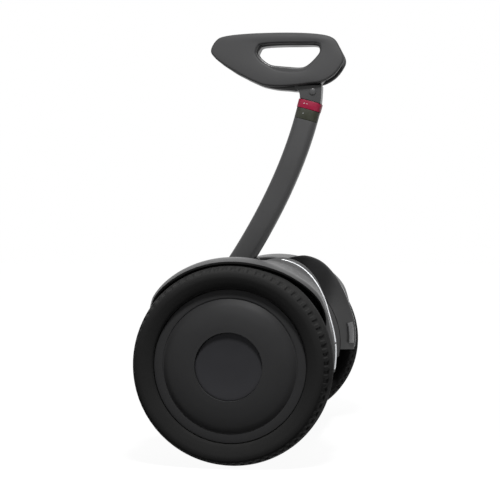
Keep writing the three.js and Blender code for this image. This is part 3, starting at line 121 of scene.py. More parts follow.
# Motor cover: its ring-shaped recess, as (distance in from the boss or border, depth)
COVER_THICK = 4 * MM
COVER_BOSS_LENGTH = 5 * MM
COVER_RING_INNER = ((9 * MM, 0), (12 * MM, 1.2 * MM))
COVER_RING_OUTER = ((16 * MM, 1.2 * MM), (13 * MM, 0))
MOTOR_SCREWS = 8
MOTOR_SCREW_INSET = 7 * MM
MOTOR_SCREW_RADIUS = 3.2 * MM

# Tread and valve
TYRE_LIP = 2 * MM
TYRE_SPAN_SAMPLES = 7
TREAD_THICK = 6 * MM
TREAD_MIDDLE_SHARE = 0.5
SHOULDER_DEPTH = 8 * MM
GROOVE_PLACE = 3.4 * MM
GROOVE_HALF = 0.3 * MM
GROOVE_POINTS = (0.5 * MM, 0.2 * MM, -0.2 * MM, -0.5 * MM)
NOTCH_INNER_SHARE = 0.56
NOTCH_OUTER_SHARE = 0.95
NOTCH_WIDTH_SHARE = 0.36
VALVE_STEPS = 20
VALVE_NOSE = ((0, 0), (2.6 * MM, 0), (3.6 * MM, 0.6 * MM))
VALVE_RIBS = 10
VALVE_RIB_RADII = (4.0 * MM, 4.4 * MM)
VALVE_RIB_PITCH = 1 * MM
VALVE_NECK_START = 11.5 * MM
VALVE_NECK_RADIUS = 3.2 * MM

# Half section of a screw's head, in shares of its radius
SCREW_SHARES = ((0, 0.1), (0.42, 0.1), (0.48, 0.52), (0.72, 0.5), (0.95, 0.3), (1, 0))
SCREW_STEPS = 16

# Fenders, measured round the wheel axis
GUARD_INNER = 132 * MM
FENDER_SETBACK = 18 * MM
FENDER_CLEARANCE = 9.7 * MM
FENDER_WALL = 3 * MM
FENDER_STATIONS = 145
EDGE_SHARE = 0.775
LIP_OUTER = WHEEL_PLANE + TYRE_HALF - FENDER_SETBACK
CROWN_RADIUS = TYRE_RADIUS + FENDER_CLEARANCE
EDGE_RADIUS = CROWN_RADIUS * EDGE_SHARE
CREST_WIDTH = 5 * MM
CREST_SHARE = 0.3
FLANK_SHARE = 0.6
FENDER_TURNS = (-95, 96)
FENDER_EASE = (0, 26 * MM, 14 * MM, 4 * MM, 5 * MM, 8 * MM, 0)
FENDER_FACETS = 5
LIGHT_TURNS = (21, 94)
LIGHT_BREAK_TURN = 79
LIGHT_BREAK_DEGREES = 0.9
LIGHT_WIDTH = 2.3 * MM
LIGHT_PROUD = 0.5 * MM
LIGHT_SUNK = 1.5 * MM
LIGHT_EDGE = 0.5 * MM
LIGHT_STEP_DEGREES = 1.2
LIGHT_START_SHARE = 0.55
LIGHT_GROWTH_SHARE = 0.45
LIGHT_GROWTH_DEGREES = 50

# Stem, along its middle line from the foot to the collar
STEM_FOOT = Vector((95, 0, 168)) * MM
STEM_TOP = Vector((-69.5, 0, 465.4)) * MM
STEM_FOOT_LEAN = 40 * DEGREE
STEM_TOP_LEAN = 15.5 * DEGREE
STEM_FOOT_PULL = 112 * MM
STEM_TOP_PULL = 105 * MM
STEM_DEPTH = 34 * MM
STEM_BREADTH = 27 * MM
STEM_CORNER = 9 * MM
STEM_STATIONS = 72
STEM_START_SHARE = -0.003
STEM_SPAN_SHARE = 1.003
STEM_STEP_SHARE = 0.002
SMALLEST_CORNER = 0.2 * MM
TOP_ALONG = Vector((-math.sin(STEM_TOP_LEAN), 0, math.cos(STEM_TOP_LEAN)))
SOCKET_SHARE = 0.3
SOCKET_STATIONS = 24
SOCKET_WALL = 3.7 * MM
RING_EDGE = 0.5 * MM
SLEEVE_START = 0.3 * MM
SLEEVE_END = 15.5 * MM
COLLAR_START = 15.8 * MM
COLLAR_END = 28 * MM
COLLAR_PROUD = 0.6 * MM
NECK_START = 28.3 * MM
NECK_DEPTH = 31.4 * MM
NECK_BREADTH = 27 * MM
NECK_TOP = 510.5 * MM
NECK_OVERLAP = 6 * MM
NECK_EASE = (0, 0, 6 * MM, 2 * MM, 2 * MM, 8 * MM)
NECK_EDGE = 2 * MM
PLUG_SHARE = 0.325
PLUG_SETBACK = 5 * MM
PLUG_DEPTH = 8 * MM
PLUG_LENGTH = 12 * MM
PLUG_THICK = 1.2 * MM
PLUG_PROUD = 0.3 * MM
PLUG_CORNER = 2.4 * MM
PLUG_EDGE = 0.25 * MM
PLUG_STEP_SHARE = 0.01
TICK_WIDTH = 0.8 * MM
TICK_THICK = 0.24 * MM
TICK_EDGE = 0.08 * MM

# Head
HEAD_REAR = -127.5 * MM
HEAD_LENGTH = 195 * MM
HEAD_LOW = 509 * MM
HEAD_HEIGHT = 82 * MM
CORE_HALF = 11 * MM
CORE_EDGE = 2 * MM
PAD_GAP = 0.8 * MM
HEAD_SAMPLES = 192
HEAD_VOXEL = 0.9 * MM
HEAD_EASE_FACTOR = 0.5
HEAD_EASE_ROUNDS = 5
FACE_STEPS = 9
CORE_EDGE_FACETS = 3
PAD_THICK = 13 * MM
PAD_BACK_EDGE = 2 * MM
PAD_CROWN_POWER = 0.8
PAD_EDGE_FACETS = 8
PAD_BACK_FACETS = 4

# Foot mats
MAT_THICK = 7 * MM
MAT_CORNER = 16 * MM
MAT_EDGE = 1.6 * MM
MAT_BORDER = 6 * MM
RIB_HEIGHT = 1.6 * MM
RIB_SUNK = 1 * MM
RIB_INSET = 5 * MM
END_RIB_INSET = 7 * MM
RIB_GAP_SHARE = 0.18
RIB_WIDTH_SHARE = 0.64
RIB_CORNER_SHARE = 0.31
RIB_EDGE = 0.7 * MM

# Bars behind the display window
CHARGE_BARS = 5
CHARGE_BORDER = 4 * MM
CHARGE_END_BORDER = 8 * MM
CHARGE_GAP_SHARE = 0.15
CHARGE_SUNK = 0.3 * MM
CHARGE_PROUD = 0.12 * MM
CHARGE_CORNER = 0.6 * MM
CHARGE_EDGE = 0.05 * MM

# Ribs and screws of the covers
BELLY_RIB_PLACES = (-120, -80, -40, 0, 40, 80, 120)
BELLY_RIB_END = 22 * MM
BELLY_RIB_HALF = 3 * MM
BELLY_RIB_DROP = 1.2 * MM
BELLY_RIB_CORNER = 2.8 * MM
BELLY_RIB_EDGE = 0.3 * MM
SCREW_INSET = 8 * MM
DECK_SCREW_ACROSS = 148 * MM
DECK_SCREW_RADIUS = 3.4 * MM
PANEL_SCREWS_ACROSS = (20 * MM, 96 * MM)
COWL_SCREWS_UP = (20 * MM, 62 * MM)
COWL_SCREW_FORWARDS = 26 * MM
TRIM_SCREW_RADIUS = 2.8 * MM
BELLY_SCREW_INSET = 10.5 * MM
BELLY_SCREW_RECESS = 2.9 * MM
BELLY_SCREW_RADIUS = 3.6 * MM
MIDDLE_SCREW_ACROSS = 60 * MM
MIDDLE_SCREW_RADIUS = 3.2 * MM

# Ends of the socket, as (share of the stem's line, inset of the section)
SOCKET_FOOT = ((-0.018, 1.2 * MM), (-0.012, 0.0))
SOCKET_MOUTH = ((0.296, 0.1 * MM), (0.2985, 0.5 * MM), (0.3, 1.1 * MM))
# Marks of the scale, as (distance above the stem's end, place forwards, length)
TICK_PLACES = (
    (COLLAR_START + 7 * MM, 3 * MM, 1.5 * MM), (COLLAR_START + 7 * MM, 7.5 * MM, 1.5 * MM),
    (SLEEVE_START + 8 * MM, 5 * MM, 1.2 * MM),
)

# Lines that run round a fender, as (turn towards the rear in degrees, share of the way out
# from the inner guard to the lip, share of the crown's radius)
LIP_SHARES = (
    (-96, 0.476, 0.83), (-76, 0.484, 0.85), (-70, 0.492, 0.9), (-64, 0.55, 0.918), (-60, 0.62, 0.945),
    (-50, 0.84, 0.962), (-35, 0.968, 0.957), (0, 1, 0.953), (18, 0.984, 0.963), (34, 0.875, 0.981),
    (50, 0.653, 0.985), (58, 0.56, 0.965), (64, 0.51, 0.935), (74, 0.484, 0.865), (97, 0.48, 0.845),
)
CROWN_SHARES = (
    (-96, 0.464, 0.885), (-76, 0.476, 0.915), (-62, 0.56, 0.965), (-56, 0.66, 0.985), (-50, 0.76, 0.997),
    (-35, 0.855, 1.002), (0, 0.831, 1), (18, 0.831, 1.004), (34, 0.766, 1.014), (50, 0.589, 1.016),
    (60, 0.5, 0.975), (74, 0.468, 0.916), (97, 0.472, 0.885),
)
VALLEY_SHARES = (
    (-96, 0.444, 0.9), (-62, 0.468, 0.965), (-35, 0.444, 0.99), (0, 0.427, 0.977), (28, 0.45, 0.982),
    (50, 0.43, 0.99), (64, 0.435, 0.945), (80, 0.45, 0.92), (97, 0.456, 0.9),
)
RIDGE_SHARES = (
    (-96, 0.323, 0.92), (-62, 0.226, 0.96), (-30, 0.056, 0.985), (0, 0.008, 0.959), (10, 0, 0.963),
    (16, 0, 1.009), (22, 0, 1.056), (31, 0.002, 1.078), (40, 0.032, 1.058), (52, 0.149, 1.005),
    (64, 0.274, 0.964), (80, 0.379, 0.942), (97, 0.419, 0.915),
)

# Outlines of the head, as (share of its length from the rear, share of its height)
CORE_OUTLINE_SHARES = (
    (0.977, 0.701), (0.941, 0.841), (0.879, 0.915), (0.705, 0.957), (0.418, 0.961), (0.203, 0.927),
    (0.105, 0.854), (0.051, 0.695), (0.026, 0.537), (0.046, 0.415), (0.095, 0.274), (0.151, 0.177),
    (0.192, 0.073), (0.264, 0.006), (0.354, -0.018), (0.423, -0.001), (0.512, 0.02), (0.603, 0.068),
    (0.664, 0.128), (0.731, 0.207), (0.815, 0.311), (0.9, 0.451), (0.956, 0.567),
)
CORE_HOLE_SHARES = (
    (0.649, 0.652), (0.636, 0.738), (0.608, 0.78), (0.5, 0.796), (0.346, 0.795), (0.213, 0.78),
    (0.19, 0.72), (0.195, 0.646), (0.244, 0.512), (0.295, 0.421), (0.342, 0.4), (0.418, 0.415),
    (0.492, 0.433), (0.553, 0.457), (0.608, 0.537),
)
PAD_OUTLINE_SHARES = (
    (1, 0.707), (0.964, 0.878), (0.896, 0.959), (0.708, 0.998), (0.42, 1), (0.195, 0.963),
    (0.082, 0.884), (0.031, 0.707), (0.003, 0.537), (0.026, 0.39), (0.082, 0.232), (0.167, 0.122),
    (0.272, 0.091), (0.405, 0.0585), (0.518, 0.056), (0.613, 0.087), (0.727, 0.207), (0.818, 0.329),
    (0.909, 0.463), (0.969, 0.579),
)
PAD_HOLE_SHARES = (
    (0.659, 0.646), (0.647, 0.75), (0.618, 0.802), (0.503, 0.817), (0.349, 0.815), (0.205, 0.802),
    (0.179, 0.732), (0.185, 0.634), (0.236, 0.476), (0.287, 0.36), (0.338, 0.312), (0.42, 0.312),
    (0.503, 0.348), (0.569, 0.432), (0.626, 0.524),
)

# Hub dome: share of the way in from its edge to the recess, share of its height
DOME_SHARES = ((0, 0), (0.18, 0.42), (0.45, 0.76), (0.75, 0.95), (1, 1))
# Tyre: share of the way from the bead seat to the tread, share of the half width
TYRE_OUTER_SHARES = ((0.14, 0.79), (0.3, 0.91), (0.58, 1), (0.78, 0.92), (0.9, 0.6), (1, 0.15))
TYRE_INNER_SHARES = ((0.5, 0.95), (0.88, 0.45))

# Shades that aren't settings
SOFT_WHITE = (0.9, 0.92, 0.95, 1)
DUST = (0.2, 0.19, 0.175, 1)
ALLOY = (0.36, 0.37, 0.38, 1)
STEEL = (0.5, 0.51, 0.53, 1)
COPPER = (0.42, 0.16, 0.06, 1)
LAMINATE = (0.01, 0.09, 0.035, 1)
COPPER_TRACK = (0.05, 0.2, 0.07, 1)
CASE_BLACK = (0.012, 0.012, 0.013, 1)
SMOKED = (0.004, 0.004, 0.005, 1)
REFLECTOR_GREY = (0.13, 0.13, 0.135, 1)
COPPER_SHADOW = (0.12, 0.04, 0.015, 1)
PRISM_SHADE = 0.38

# Grain, dust and turned marks that the finishes share
BUMP_STRENGTH = 0.5
COAT_TONE = 0.07
COAT_SPREAD = 0.07
COAT_RING_BLUR = 0.4
METAL_TONE = 0.1
METAL_SPREAD = 0.08
METAL_RING_BLUR = 1.0
METAL_DUST = 0.05

# Camera, lamps and floor
CAMERA_PLACE = Vector((-0.2698, 1.8697, 0.289))
CAMERA_AIM = Vector((0.013, 0, 0.2761))
CAMERA_LENS = 92.5
CAMERA_SENSOR = 36
KEY_PLACE = Vector((-0.15, 0.88, 1.22))
KEY_SIZE = 0.25
KEY_POWER = 14
SOFT_BOX_HEIGHT = 2.4
SOFT_BOX_SIZE = 2.6
SOFT_BOX_POWER = 12
FILL_STRENGTH = 0.05
FLOOR_SHADE = (0.12, 0.12, 0.12, 1)
FLOOR_NEAR_GLOW = 0.95
FLOOR_HALF = 14
FLOOR_DROP = 0.2 * MM
FLOOR_GLOW_RADII = (0.3, 1.2)
LIGHT_AIM = Vector((0, 0, 0.28))


class TransporterSizes(bpy.types.PropertyGroup):
    """Sizes of the visible surface that can be changed by themselves"""
    moulded_edge: FloatProperty(
        name="Moulded edge", description="Round on the edges of moulded pieces",
        default=0.9 * MM, min=0.1 * MM, max=3 * MM, unit="LENGTH")
    cast_edge: FloatProperty(
        name="Cast edge", description="Round on the edges of cast and turned metal",
        default=0.5 * MM, min=0.1 * MM, max=2 * MM, unit="LENGTH")
    tread_notches: IntProperty(
        name="Tread notches", description="Notches round each shoulder of a tyre",
        default=72, min=24, max=108)
    tread_depth: FloatProperty(
        name="Tread depth", description="Depth of the tread's grooves and notches",
        default=1.8 * MM, min=0.5 * MM, max=4 * MM, unit="LENGTH")
    pad_crown: FloatProperty(
        name="Pad crown", description="How far the middle of a knee pad stands proud of its edge",
        default=0.5 * MM, min=0.0, max=4 * MM, unit="LENGTH")
    pad_round: FloatProperty(
        name="Pad round", description="Round on the outer edge of a knee pad",
        default=3.2 * MM, min=1 * MM, max=7 * MM, unit="LENGTH")
    mat_ribs: IntProperty(
        name="Mat ribs", description="Raised ribs across each foot mat", default=15, min=5, max=24)


def colour_property(name, what, shade):
    return FloatVectorProperty(
        name=name, description=f"Colour of {what}", subtype="COLOR", size=3, default=shade, min=0, max=1)


class TransporterColours(bpy.types.PropertyGroup):
    """Colours of the finishes"""
    tyre: colour_property("Tyre", "the tyres", (0.026, 0.026, 0.026))
    shell: colour_property("Shell", "the fenders and covers", (0.056, 0.056, 0.057))
    hub: colour_property("Hub", "the hub covers", (0.035, 0.035, 0.036))
    hub_cap: colour_property("Hub cap", "the centre caps", (0.041, 0.041, 0.045))
    deep: colour_property("Deep black", "the black trim", (0.009, 0.009, 0.009))
    head: colour_property("Head", "the head and the stem", (0.042, 0.042, 0.043))
    pad: colour_property("Knee pad", "the knee pads", (0.045, 0.045, 0.046))
    mat: colour_property("Foot mat", "the foot mats", (0.022, 0.022, 0.022))
    collar: colour_property("Collar", "the collar", (0.3, 0.006, 0.04))
    sleeve: colour_property("Sleeve", "the sleeve under the collar", (0.024, 0.026, 0.015))
    light: colour_property("Light", "the light strips and lenses", (0.86, 0.88, 0.9))


def sizes():
    return bpy.context.scene.transporter_sizes


def colour(name):
    return (*getattr(bpy.context.scene.transporter_colours, name), 1)


# Node trees

def fill(tree, socket, value):
    """Links a socket to another one, or sets its own value."""
    if isinstance(value, bpy.types.NodeSocket):
        tree.links.new(value, socket)
    else:
        socket.default_value = value


def put(tree, kind, sockets=None, **settings):
    """One node, with its settings made and its sockets filled or linked."""
    made = tree.nodes.new(kind)
    for name, value in settings.items():
        setattr(made, name, value)
    for name, value in (sockets or {}).items():
        fill(tree, made.inputs[name], value)
    return made


def mix_colour(tree, factor, first, second):
    made = tree.nodes.new("ShaderNodeMix")
    made.data_type = "RGBA"
    for index, value in ((0, factor), (6, first), (7, second)):
        fill(tree, made.inputs[index], value)
    return made.outputs[2]


def remap(tree, value, low, high, to_low, to_high):
    made = put(tree, "ShaderNodeMapRange", {
        "Value": value, "From Min": low, "From Max": high, "To Min": to_low, "To Max": to_high})
    return made.outputs["Result"]


def maths(tree, operation, first, second):
    made = put(tree, "ShaderNodeMath", {0: first, 1: second}, operation=operation)
    return made.outputs[0]


def effect(name, inputs, outputs):
    """An empty shader node group with its sockets, and the nodes that hold them."""
    tree = bpy.data.node_groups.new(name, "ShaderNodeTree")
    for label, kind, default in inputs:
        socket = tree.interface.new_socket(name=label, in_out="INPUT", socket_type=kind)
        socket.default_value = default
    for label, kind in outputs:
        tree.interface.new_socket(name=label, in_out="OUTPUT", socket_type=kind)
    return tree, tree.nodes.new("NodeGroupInput"), tree.nodes.new("NodeGroupOutput")


def mould_grain_group():
    """Fine grain of a moulded or painted surface, with slow changes of tone and gloss."""
    tree, given, result = effect(
        "mould_grain",
        [("Scale", "NodeSocketFloat", 1400.0), ("Roughness", "NodeSocketFloat", 0.5),
         ("Spread", "NodeSocketFloat", 0.1), ("Tone", "NodeSocketFloat", 0.08)],
        [("Height", "NodeSocketFloat"), ("Tone", "NodeSocketFloat"), ("Roughness", "NodeSocketFloat")])
    place = put(tree, "ShaderNodeTexCoord").outputs["Object"]
    grain = put(tree, "ShaderNodeTexNoise", {
        "Vector": place, "Scale": given.outputs["Scale"], "Detail": 2.0, "Roughness": 0.55})
    cells = put(tree, "ShaderNodeTexVoronoi", {"Vector": place, "Scale": given.outputs["Scale"]},
                feature="SMOOTH_F1")
    height = maths(tree, "MULTIPLY", grain.outputs[0], cells.outputs["Distance"])
    cloud = put(tree, "ShaderNodeTexNoise", {"Vector": place, "Scale": 22.0, "Detail": 4.0}).outputs[0]
    swing = remap(tree, cloud, 0.3, 0.7, -1.0, 1.0)
    tone = maths(tree, "ADD", maths(tree, "MULTIPLY", swing, given.outputs["Tone"]), 1.0)
    fine = remap(tree, grain.outputs[0], 0.3, 0.7, -0.5, 0.5)
    shift = maths(tree, "MULTIPLY", maths(tree, "ADD", swing, fine), given.outputs["Spread"])
    tree.links.new(height, result.inputs["Height"])
    tree.links.new(tone, result.inputs["Tone"])
    tree.links.new(maths(tree, "ADD", shift, given.outputs["Roughness"]), result.inputs["Roughness"])
    return tree


def settled_dust_group():
    """Colour with a little dust on the faces that look up, broken up by two sizes of patch."""
    tree, given, result = effect(
        "settled_dust",
        [("Colour", "NodeSocketColor", (0, 0, 0, 1)), ("Tone", "NodeSocketFloat", 1.0),
         ("Amount", "NodeSocketFloat", 0.1)],
        [("Colour", "NodeSocketColor")])
    place = put(tree, "ShaderNodeTexCoord").outputs["Object"]
    up = put(tree, "ShaderNodeSeparateXYZ", {
        0: put(tree, "ShaderNodeNewGeometry").outputs["Normal"]}).outputs["Z"]
    facing = remap(tree, up, 0.1, 1.0, 0.0, 1.0)
    patch = put(tree, "ShaderNodeTexNoise", {"Vector": place, "Scale": 60.0, "Detail": 6.0}).outputs[0]
    specks = put(tree, "ShaderNodeTexNoise", {"Vector": place, "Scale": 900.0, "Detail": 2.0}).outputs[0]
    cover = maths(tree, "MULTIPLY", remap(tree, patch, 0.4, 0.75, 0.2, 1.0),
                  remap(tree, specks, 0.45, 0.7, 0.3, 1.0))
    amount = maths(tree, "MULTIPLY", maths(tree, "MULTIPLY", cover, facing), given.outputs["Amount"])
    toned = put(tree, "ShaderNodeVectorMath", {0: given.outputs["Colour"]}, operation="SCALE")
    tree.links.new(given.outputs["Tone"], toned.inputs["Scale"])
    tree.links.new(mix_colour(tree, amount, toned.outputs[0], DUST), result.inputs["Colour"])
    return tree


def rubbed_edges_group():
    """Colour that is a little lighter where the surface is rubbed on its edges."""
    tree, given, result = effect(
        "rubbed_edges",
        [("Colour", "NodeSocketColor", (0, 0, 0, 1)), ("Bare", "NodeSocketColor", (0.5, 0.5, 0.5, 1)),
         ("Amount", "NodeSocketFloat", 0.3)],
        [("Colour", "NodeSocketColor"), ("Mask", "NodeSocketFloat")])
    place = put(tree, "ShaderNodeTexCoord").outputs["Object"]
    point = put(tree, "ShaderNodeNewGeometry").outputs["Pointiness"]
    edge = remap(tree, point, 0.52, 0.62, 0.0, 1.0)
    patch = put(tree, "ShaderNodeTexNoise", {"Vector": place, "Scale": 130.0, "Detail": 5.0}).outputs[0]
    mask = maths(tree, "MULTIPLY", edge, remap(tree, patch, 0.42, 0.62, 0.0, 1.0))
    mask = maths(tree, "MULTIPLY", mask, given.outputs["Amount"])
    tree.links.new(mix_colour(tree, mask, given.outputs["Colour"], given.outputs["Bare"]),
                   result.inputs["Colour"])
    tree.links.new(mask, result.inputs["Mask"])
    return tree


def turned_marks_group():
    """Fine rings left by turning or moulding round the wheel axis, as a height."""
    tree, given, result = effect(
        "turned_marks",
        [("Rings", "NodeSocketFloat", 700.0), ("Blur", "NodeSocketFloat", 1.0)],
        [("Height", "NodeSocketFloat")])
    place = put(tree, "ShaderNodeTexCoord").outputs["Object"]
    centred = put(tree, "ShaderNodeMapping", {"Vector": place, "Location": (0, 0, -AXLE_HEIGHT)})
    flat = put(tree, "ShaderNodeVectorMath", {0: centred.outputs[0], 1: (1, 0, 1)}, operation="MULTIPLY")
    away = put(tree, "ShaderNodeVectorMath", {0: flat.outputs[0]}, operation="LENGTH").outputs["Value"]
    rings = put(tree, "ShaderNodeMath", {0: maths(tree, "MULTIPLY", away, given.outputs["Rings"])},
                operation="SINE").outputs[0]
    broken = put(tree, "ShaderNodeTexNoise", {"Vector": place, "Scale": 90.0, "Detail": 3.0}).outputs[0]
    soft = maths(tree, "MULTIPLY", rings, remap(tree, broken, 0.3, 0.7, 0.2, 1.0))
    tree.links.new(maths(tree, "MULTIPLY", soft, given.outputs["Blur"]), result.inputs["Height"])
    return tree


EFFECTS = {
    "mould_grain": mould_grain_group,
    "settled_dust": settled_dust_group,
    "rubbed_edges": rubbed_edges_group,
    "turned_marks": turned_marks_group,
}


def use(tree, name, sockets):
    """Places one of the shared effects in a material."""
    group = bpy.data.node_groups.get(name) or EFFECTS[name]()
    made = tree.nodes.new("ShaderNodeGroup")
    made.node_tree = group
    for label, value in sockets.items():
        fill(tree, made.inputs[label], value)
    return made.outputs


def blank_material(name, **sockets):
    """A material with only its shader, whose constant values are set on its own sockets."""
    material = bpy.data.materials.new(name)
    material.use_nodes = True
    shader = next(node for node in material.node_tree.nodes if node.type == "BSDF_PRINCIPLED")
    for label, value in sockets.items():
        shader.inputs[label.replace("_", " ")].default_value = value
    return material, material.node_tree, shader


def bumped(tree, shader, height, distance):
    bump = put(tree, "ShaderNodeBump", {"Height": height, "Distance": distance, "Strength": BUMP_STRENGTH})
    tree.links.new(bump.outputs[0], shader.inputs["Normal"])


def grained(tree, shader, grain, roughness, spread, tone):
    """The shared grain in a material, with its gloss linked to the shader."""
    skin = use(tree, "mould_grain", {"Scale": grain, "Roughness": roughness, "Spread": spread, "Tone": tone})
    tree.links.new(skin["Roughness"], shader.inputs["Roughness"])
    return skin


def dusted(tree, base, skin, dust):
    """The base colour with the grain's tone and some dust on it."""
    return use(tree, "settled_dust", {"Colour": base, "Tone": skin["Tone"], "Amount": dust})["Colour"]


def ringed(tree, height, rings, blur):
    """The height, with turned marks added where the finish has any."""
    if not rings:
        return height
    marks = use(tree, "turned_marks", {"Rings": rings, "Blur": blur})
    return maths(tree, "ADD", height, marks["Height"])


def coated(name, base, roughness, grain, relief, dust=0.06, wear=0.25, bare=SOFT_WHITE, rings=0.0, **sockets):
    """A moulded, painted or rubber finish: grain, slow change of tone, dust and rubbed edges."""
    material, tree, shader = blank_material(name, **sockets)
    skin = grained(tree, shader, grain, roughness, COAT_SPREAD, COAT_TONE)
    rubbed = use(tree, "rubbed_edges", {
        "Colour": dusted(tree, base, skin, dust), "Bare": bare, "Amount": wear})
    tree.links.new(rubbed["Colour"], shader.inputs["Base Color"])
    bumped(tree, shader, ringed(tree, skin["Height"], rings, COAT_RING_BLUR), relief)
    return material


def metal(name, base, roughness, grain, relief, rings=0.0):
    """Bare metal with grain, a little dust and, where it was turned, fine rings."""
    material, tree, shader = blank_material(name, Metallic=1.0)
    skin = grained(tree, shader, grain, roughness, METAL_SPREAD, METAL_TONE)
    tree.links.new(dusted(tree, base, skin, METAL_DUST), shader.inputs["Base Color"])
    bumped(tree, shader, ringed(tree, skin["Height"], rings, METAL_RING_BLUR), relief)
    return material


def diffuser_with_painted_glow(name, base):
    """White diffuser with a fine grain and a weak painted glow, which keeps it bright where it lies in shade.
    """
    # The weak emission is painted light, which keeps the strip bright where shade falls on it.
    material, tree, shader = blank_material(
        name, Coat_Weight=0.4, Emission_Strength=0.22, Emission_Color=SOFT_WHITE)
    skin = grained(tree, shader, grain=1800.0, roughness=0.28, spread=0.08, tone=0.03)
    tree.links.new(dusted(tree, base, skin, dust=0.04), shader.inputs["Base Color"])
    bumped(tree, shader, skin["Height"], 0.1 * MM)
    return material


def prism_lens(name, base):
    """A moulded lens, clear or grey, with small prisms behind its face."""
    material, tree, shader = blank_material(name, Coat_Weight=0.8, Coat_Roughness=0.05)
    place = put(tree, "ShaderNodeTexCoord").outputs["Object"]
    prisms = put(tree, "ShaderNodeTexVoronoi", {"Vector": place, "Scale": 420.0}, distance="CHEBYCHEV")
    away = prisms.outputs["Distance"]
    shadow = tuple(part * PRISM_SHADE for part in base[:3]) + (1,)
    toned = mix_colour(tree, remap(tree, away, 0.0, 0.6, 0.45, 1.0), shadow, base)
    tree.links.new(toned, shader.inputs["Base Color"])
    tree.links.new(remap(tree, away, 0.0, 0.6, 0.12, 0.32), shader.inputs["Roughness"])
    bumped(tree, shader, away, 0.4 * MM)
    return material


def winding_copper(name, base):
    """Enamelled wire laid in rows on the teeth of the core."""
    material, tree, shader = blank_material(name, Metallic=0.8)
    place = put(tree, "ShaderNodeTexCoord").outputs["Object"]
    wires = put(tree, "ShaderNodeTexWave", {"Vector": place, "Scale": 260.0, "Distortion": 0.6},
                bands_direction="Y").outputs["Fac"]
    grained(tree, shader, grain=800.0, roughness=0.32, spread=0.1, tone=0.2)
    tree.links.new(mix_colour(tree, wires, COPPER_SHADOW, base), shader.inputs["Base Color"])
    bumped(tree, shader, wires, 0.5 * MM)
    return material


def circuit_laminate(name, base):
    """Green laminate with copper tracks under its lacquer."""
    material, tree, shader = blank_material(name, Coat_Weight=0.5, Coat_Roughness=0.2)
    place = put(tree, "ShaderNodeTexCoord").outputs["Object"]
    tracks = put(tree, "ShaderNodeTexVoronoi", {"Vector": place, "Scale": 180.0}, distance="MANHATTAN")
    line = remap(tree, tracks.outputs["Distance"], 0.35, 0.42, 0.0, 1.0)
    tree.links.new(mix_colour(tree, line, base, COPPER_TRACK), shader.inputs["Base Color"])
    grained(tree, shader, grain=900.0, roughness=0.35, spread=0.05, tone=0.05)
    bumped(tree, shader, line, 0.05 * MM)
    return material


def smoked_window(name, base):
    """Dark glossy window with a faint film of fingerprints."""
    material, tree, shader = blank_material(name, Coat_Weight=1.0, Coat_Roughness=0.03)
    skin = grained(tree, shader, grain=120.0, roughness=0.12, spread=0.08, tone=0.2)
    tree.links.new(dusted(tree, base, skin, dust=0.05), shader.inputs["Base Color"])
    return material


# What makes each finish, its shade (a colour setting's name, or a fixed shade) and its other values
FINISHES = {
    "tyre": (coated, "tyre", dict(roughness=0.78, grain=1100.0, relief=0.25 * MM, dust=0.08, wear=0.04,
                                  rings=900.0, Specular_IOR_Level=0.04)),
    "shell": (coated, "shell", dict(roughness=0.42, grain=1500.0, relief=0.1 * MM, dust=0.03, wear=0.0,
                                    Specular_IOR_Level=0.4)),
    "hub": (coated, "hub", dict(roughness=0.5, grain=1600.0, relief=0.08 * MM, dust=0.02, wear=0.0,
                                rings=500.0, Specular_IOR_Level=0.12)),
    "hub_cap": (coated, "hub_cap", dict(roughness=0.42, grain=1700.0, relief=0.06 * MM, dust=0.01, wear=0.0,
                                        Specular_IOR_Level=0.1)),
    "drum": (coated, "deep", dict(roughness=0.5, grain=900.0, relief=0.2 * MM, dust=0.05, wear=0.3,
                                  bare=ALLOY, Specular_IOR_Level=0.2)),
    "deep": (coated, "deep", dict(roughness=0.62, grain=1300.0, relief=0.1 * MM, wear=0.0,
                                  Specular_IOR_Level=0.25)),
    "head": (coated, "head", dict(roughness=0.34, grain=1500.0, relief=0.05 * MM, dust=0.03, wear=0.1,
                                  Specular_IOR_Level=0.4)),
    "stem": (coated, "head", dict(roughness=0.45, grain=2200.0, relief=0.05 * MM, dust=0.03, wear=0.02,
                                  Specular_IOR_Level=0.45)),
    "pad": (coated, "pad", dict(roughness=0.6, grain=900.0, relief=0.16 * MM, dust=0.03, wear=0.05,
                                Specular_IOR_Level=0.3, Sheen_Weight=0.05)),
    "mat": (coated, "mat", dict(roughness=0.8, grain=1000.0, relief=0.3 * MM, dust=0.3, wear=0.2,
                                Specular_IOR_Level=0.25)),
    "collar": (coated, "collar", dict(roughness=0.42, grain=1500.0, relief=0.05 * MM, dust=0.02, wear=0.1,
                                      Specular_IOR_Level=0.25)),
    "sleeve": (coated, "sleeve", dict(roughness=0.5, grain=1500.0, relief=0.06 * MM, dust=0.02, wear=0.1,
                                      Specular_IOR_Level=0.25)),
    "tick": (coated, SOFT_WHITE, dict(roughness=0.45, grain=1500.0, relief=0.03 * MM, dust=0.02, wear=0.0)),
    "case": (coated, CASE_BLACK, dict(roughness=0.4, grain=900.0, relief=0.15 * MM, dust=0.1, wear=0.0,
                                      bare=ALLOY)),
    "alloy": (metal, ALLOY, dict(roughness=0.42, grain=700.0, relief=0.25 * MM)),
    "steel": (metal, STEEL, dict(roughness=0.26, grain=1200.0, relief=0.06 * MM, rings=2600.0)),
    "light": (diffuser_with_painted_glow, "light", {}),
    "lens": (prism_lens, "light", {}),
    "reflector": (prism_lens, REFLECTOR_GREY, {}),
    "winding": (winding_copper, COPPER, {}),
    "circuit": (circuit_laminate, LAMINATE, {}),
    "window": (smoked_window, SMOKED, {}),
}


def finish(name):
    """The material of one finish, made the first time that it is asked for. Its name has an ending
    of its own, because the solid model already holds plain materials with some of these names."""
    label = f"{name}_finish"
    if label not in bpy.data.materials:
        make, shade, values = FINISHES[name]
        make(label, colour(shade) if isinstance(shade, str) else shade, **values)
    return bpy.data.materials[label]


# Pieces

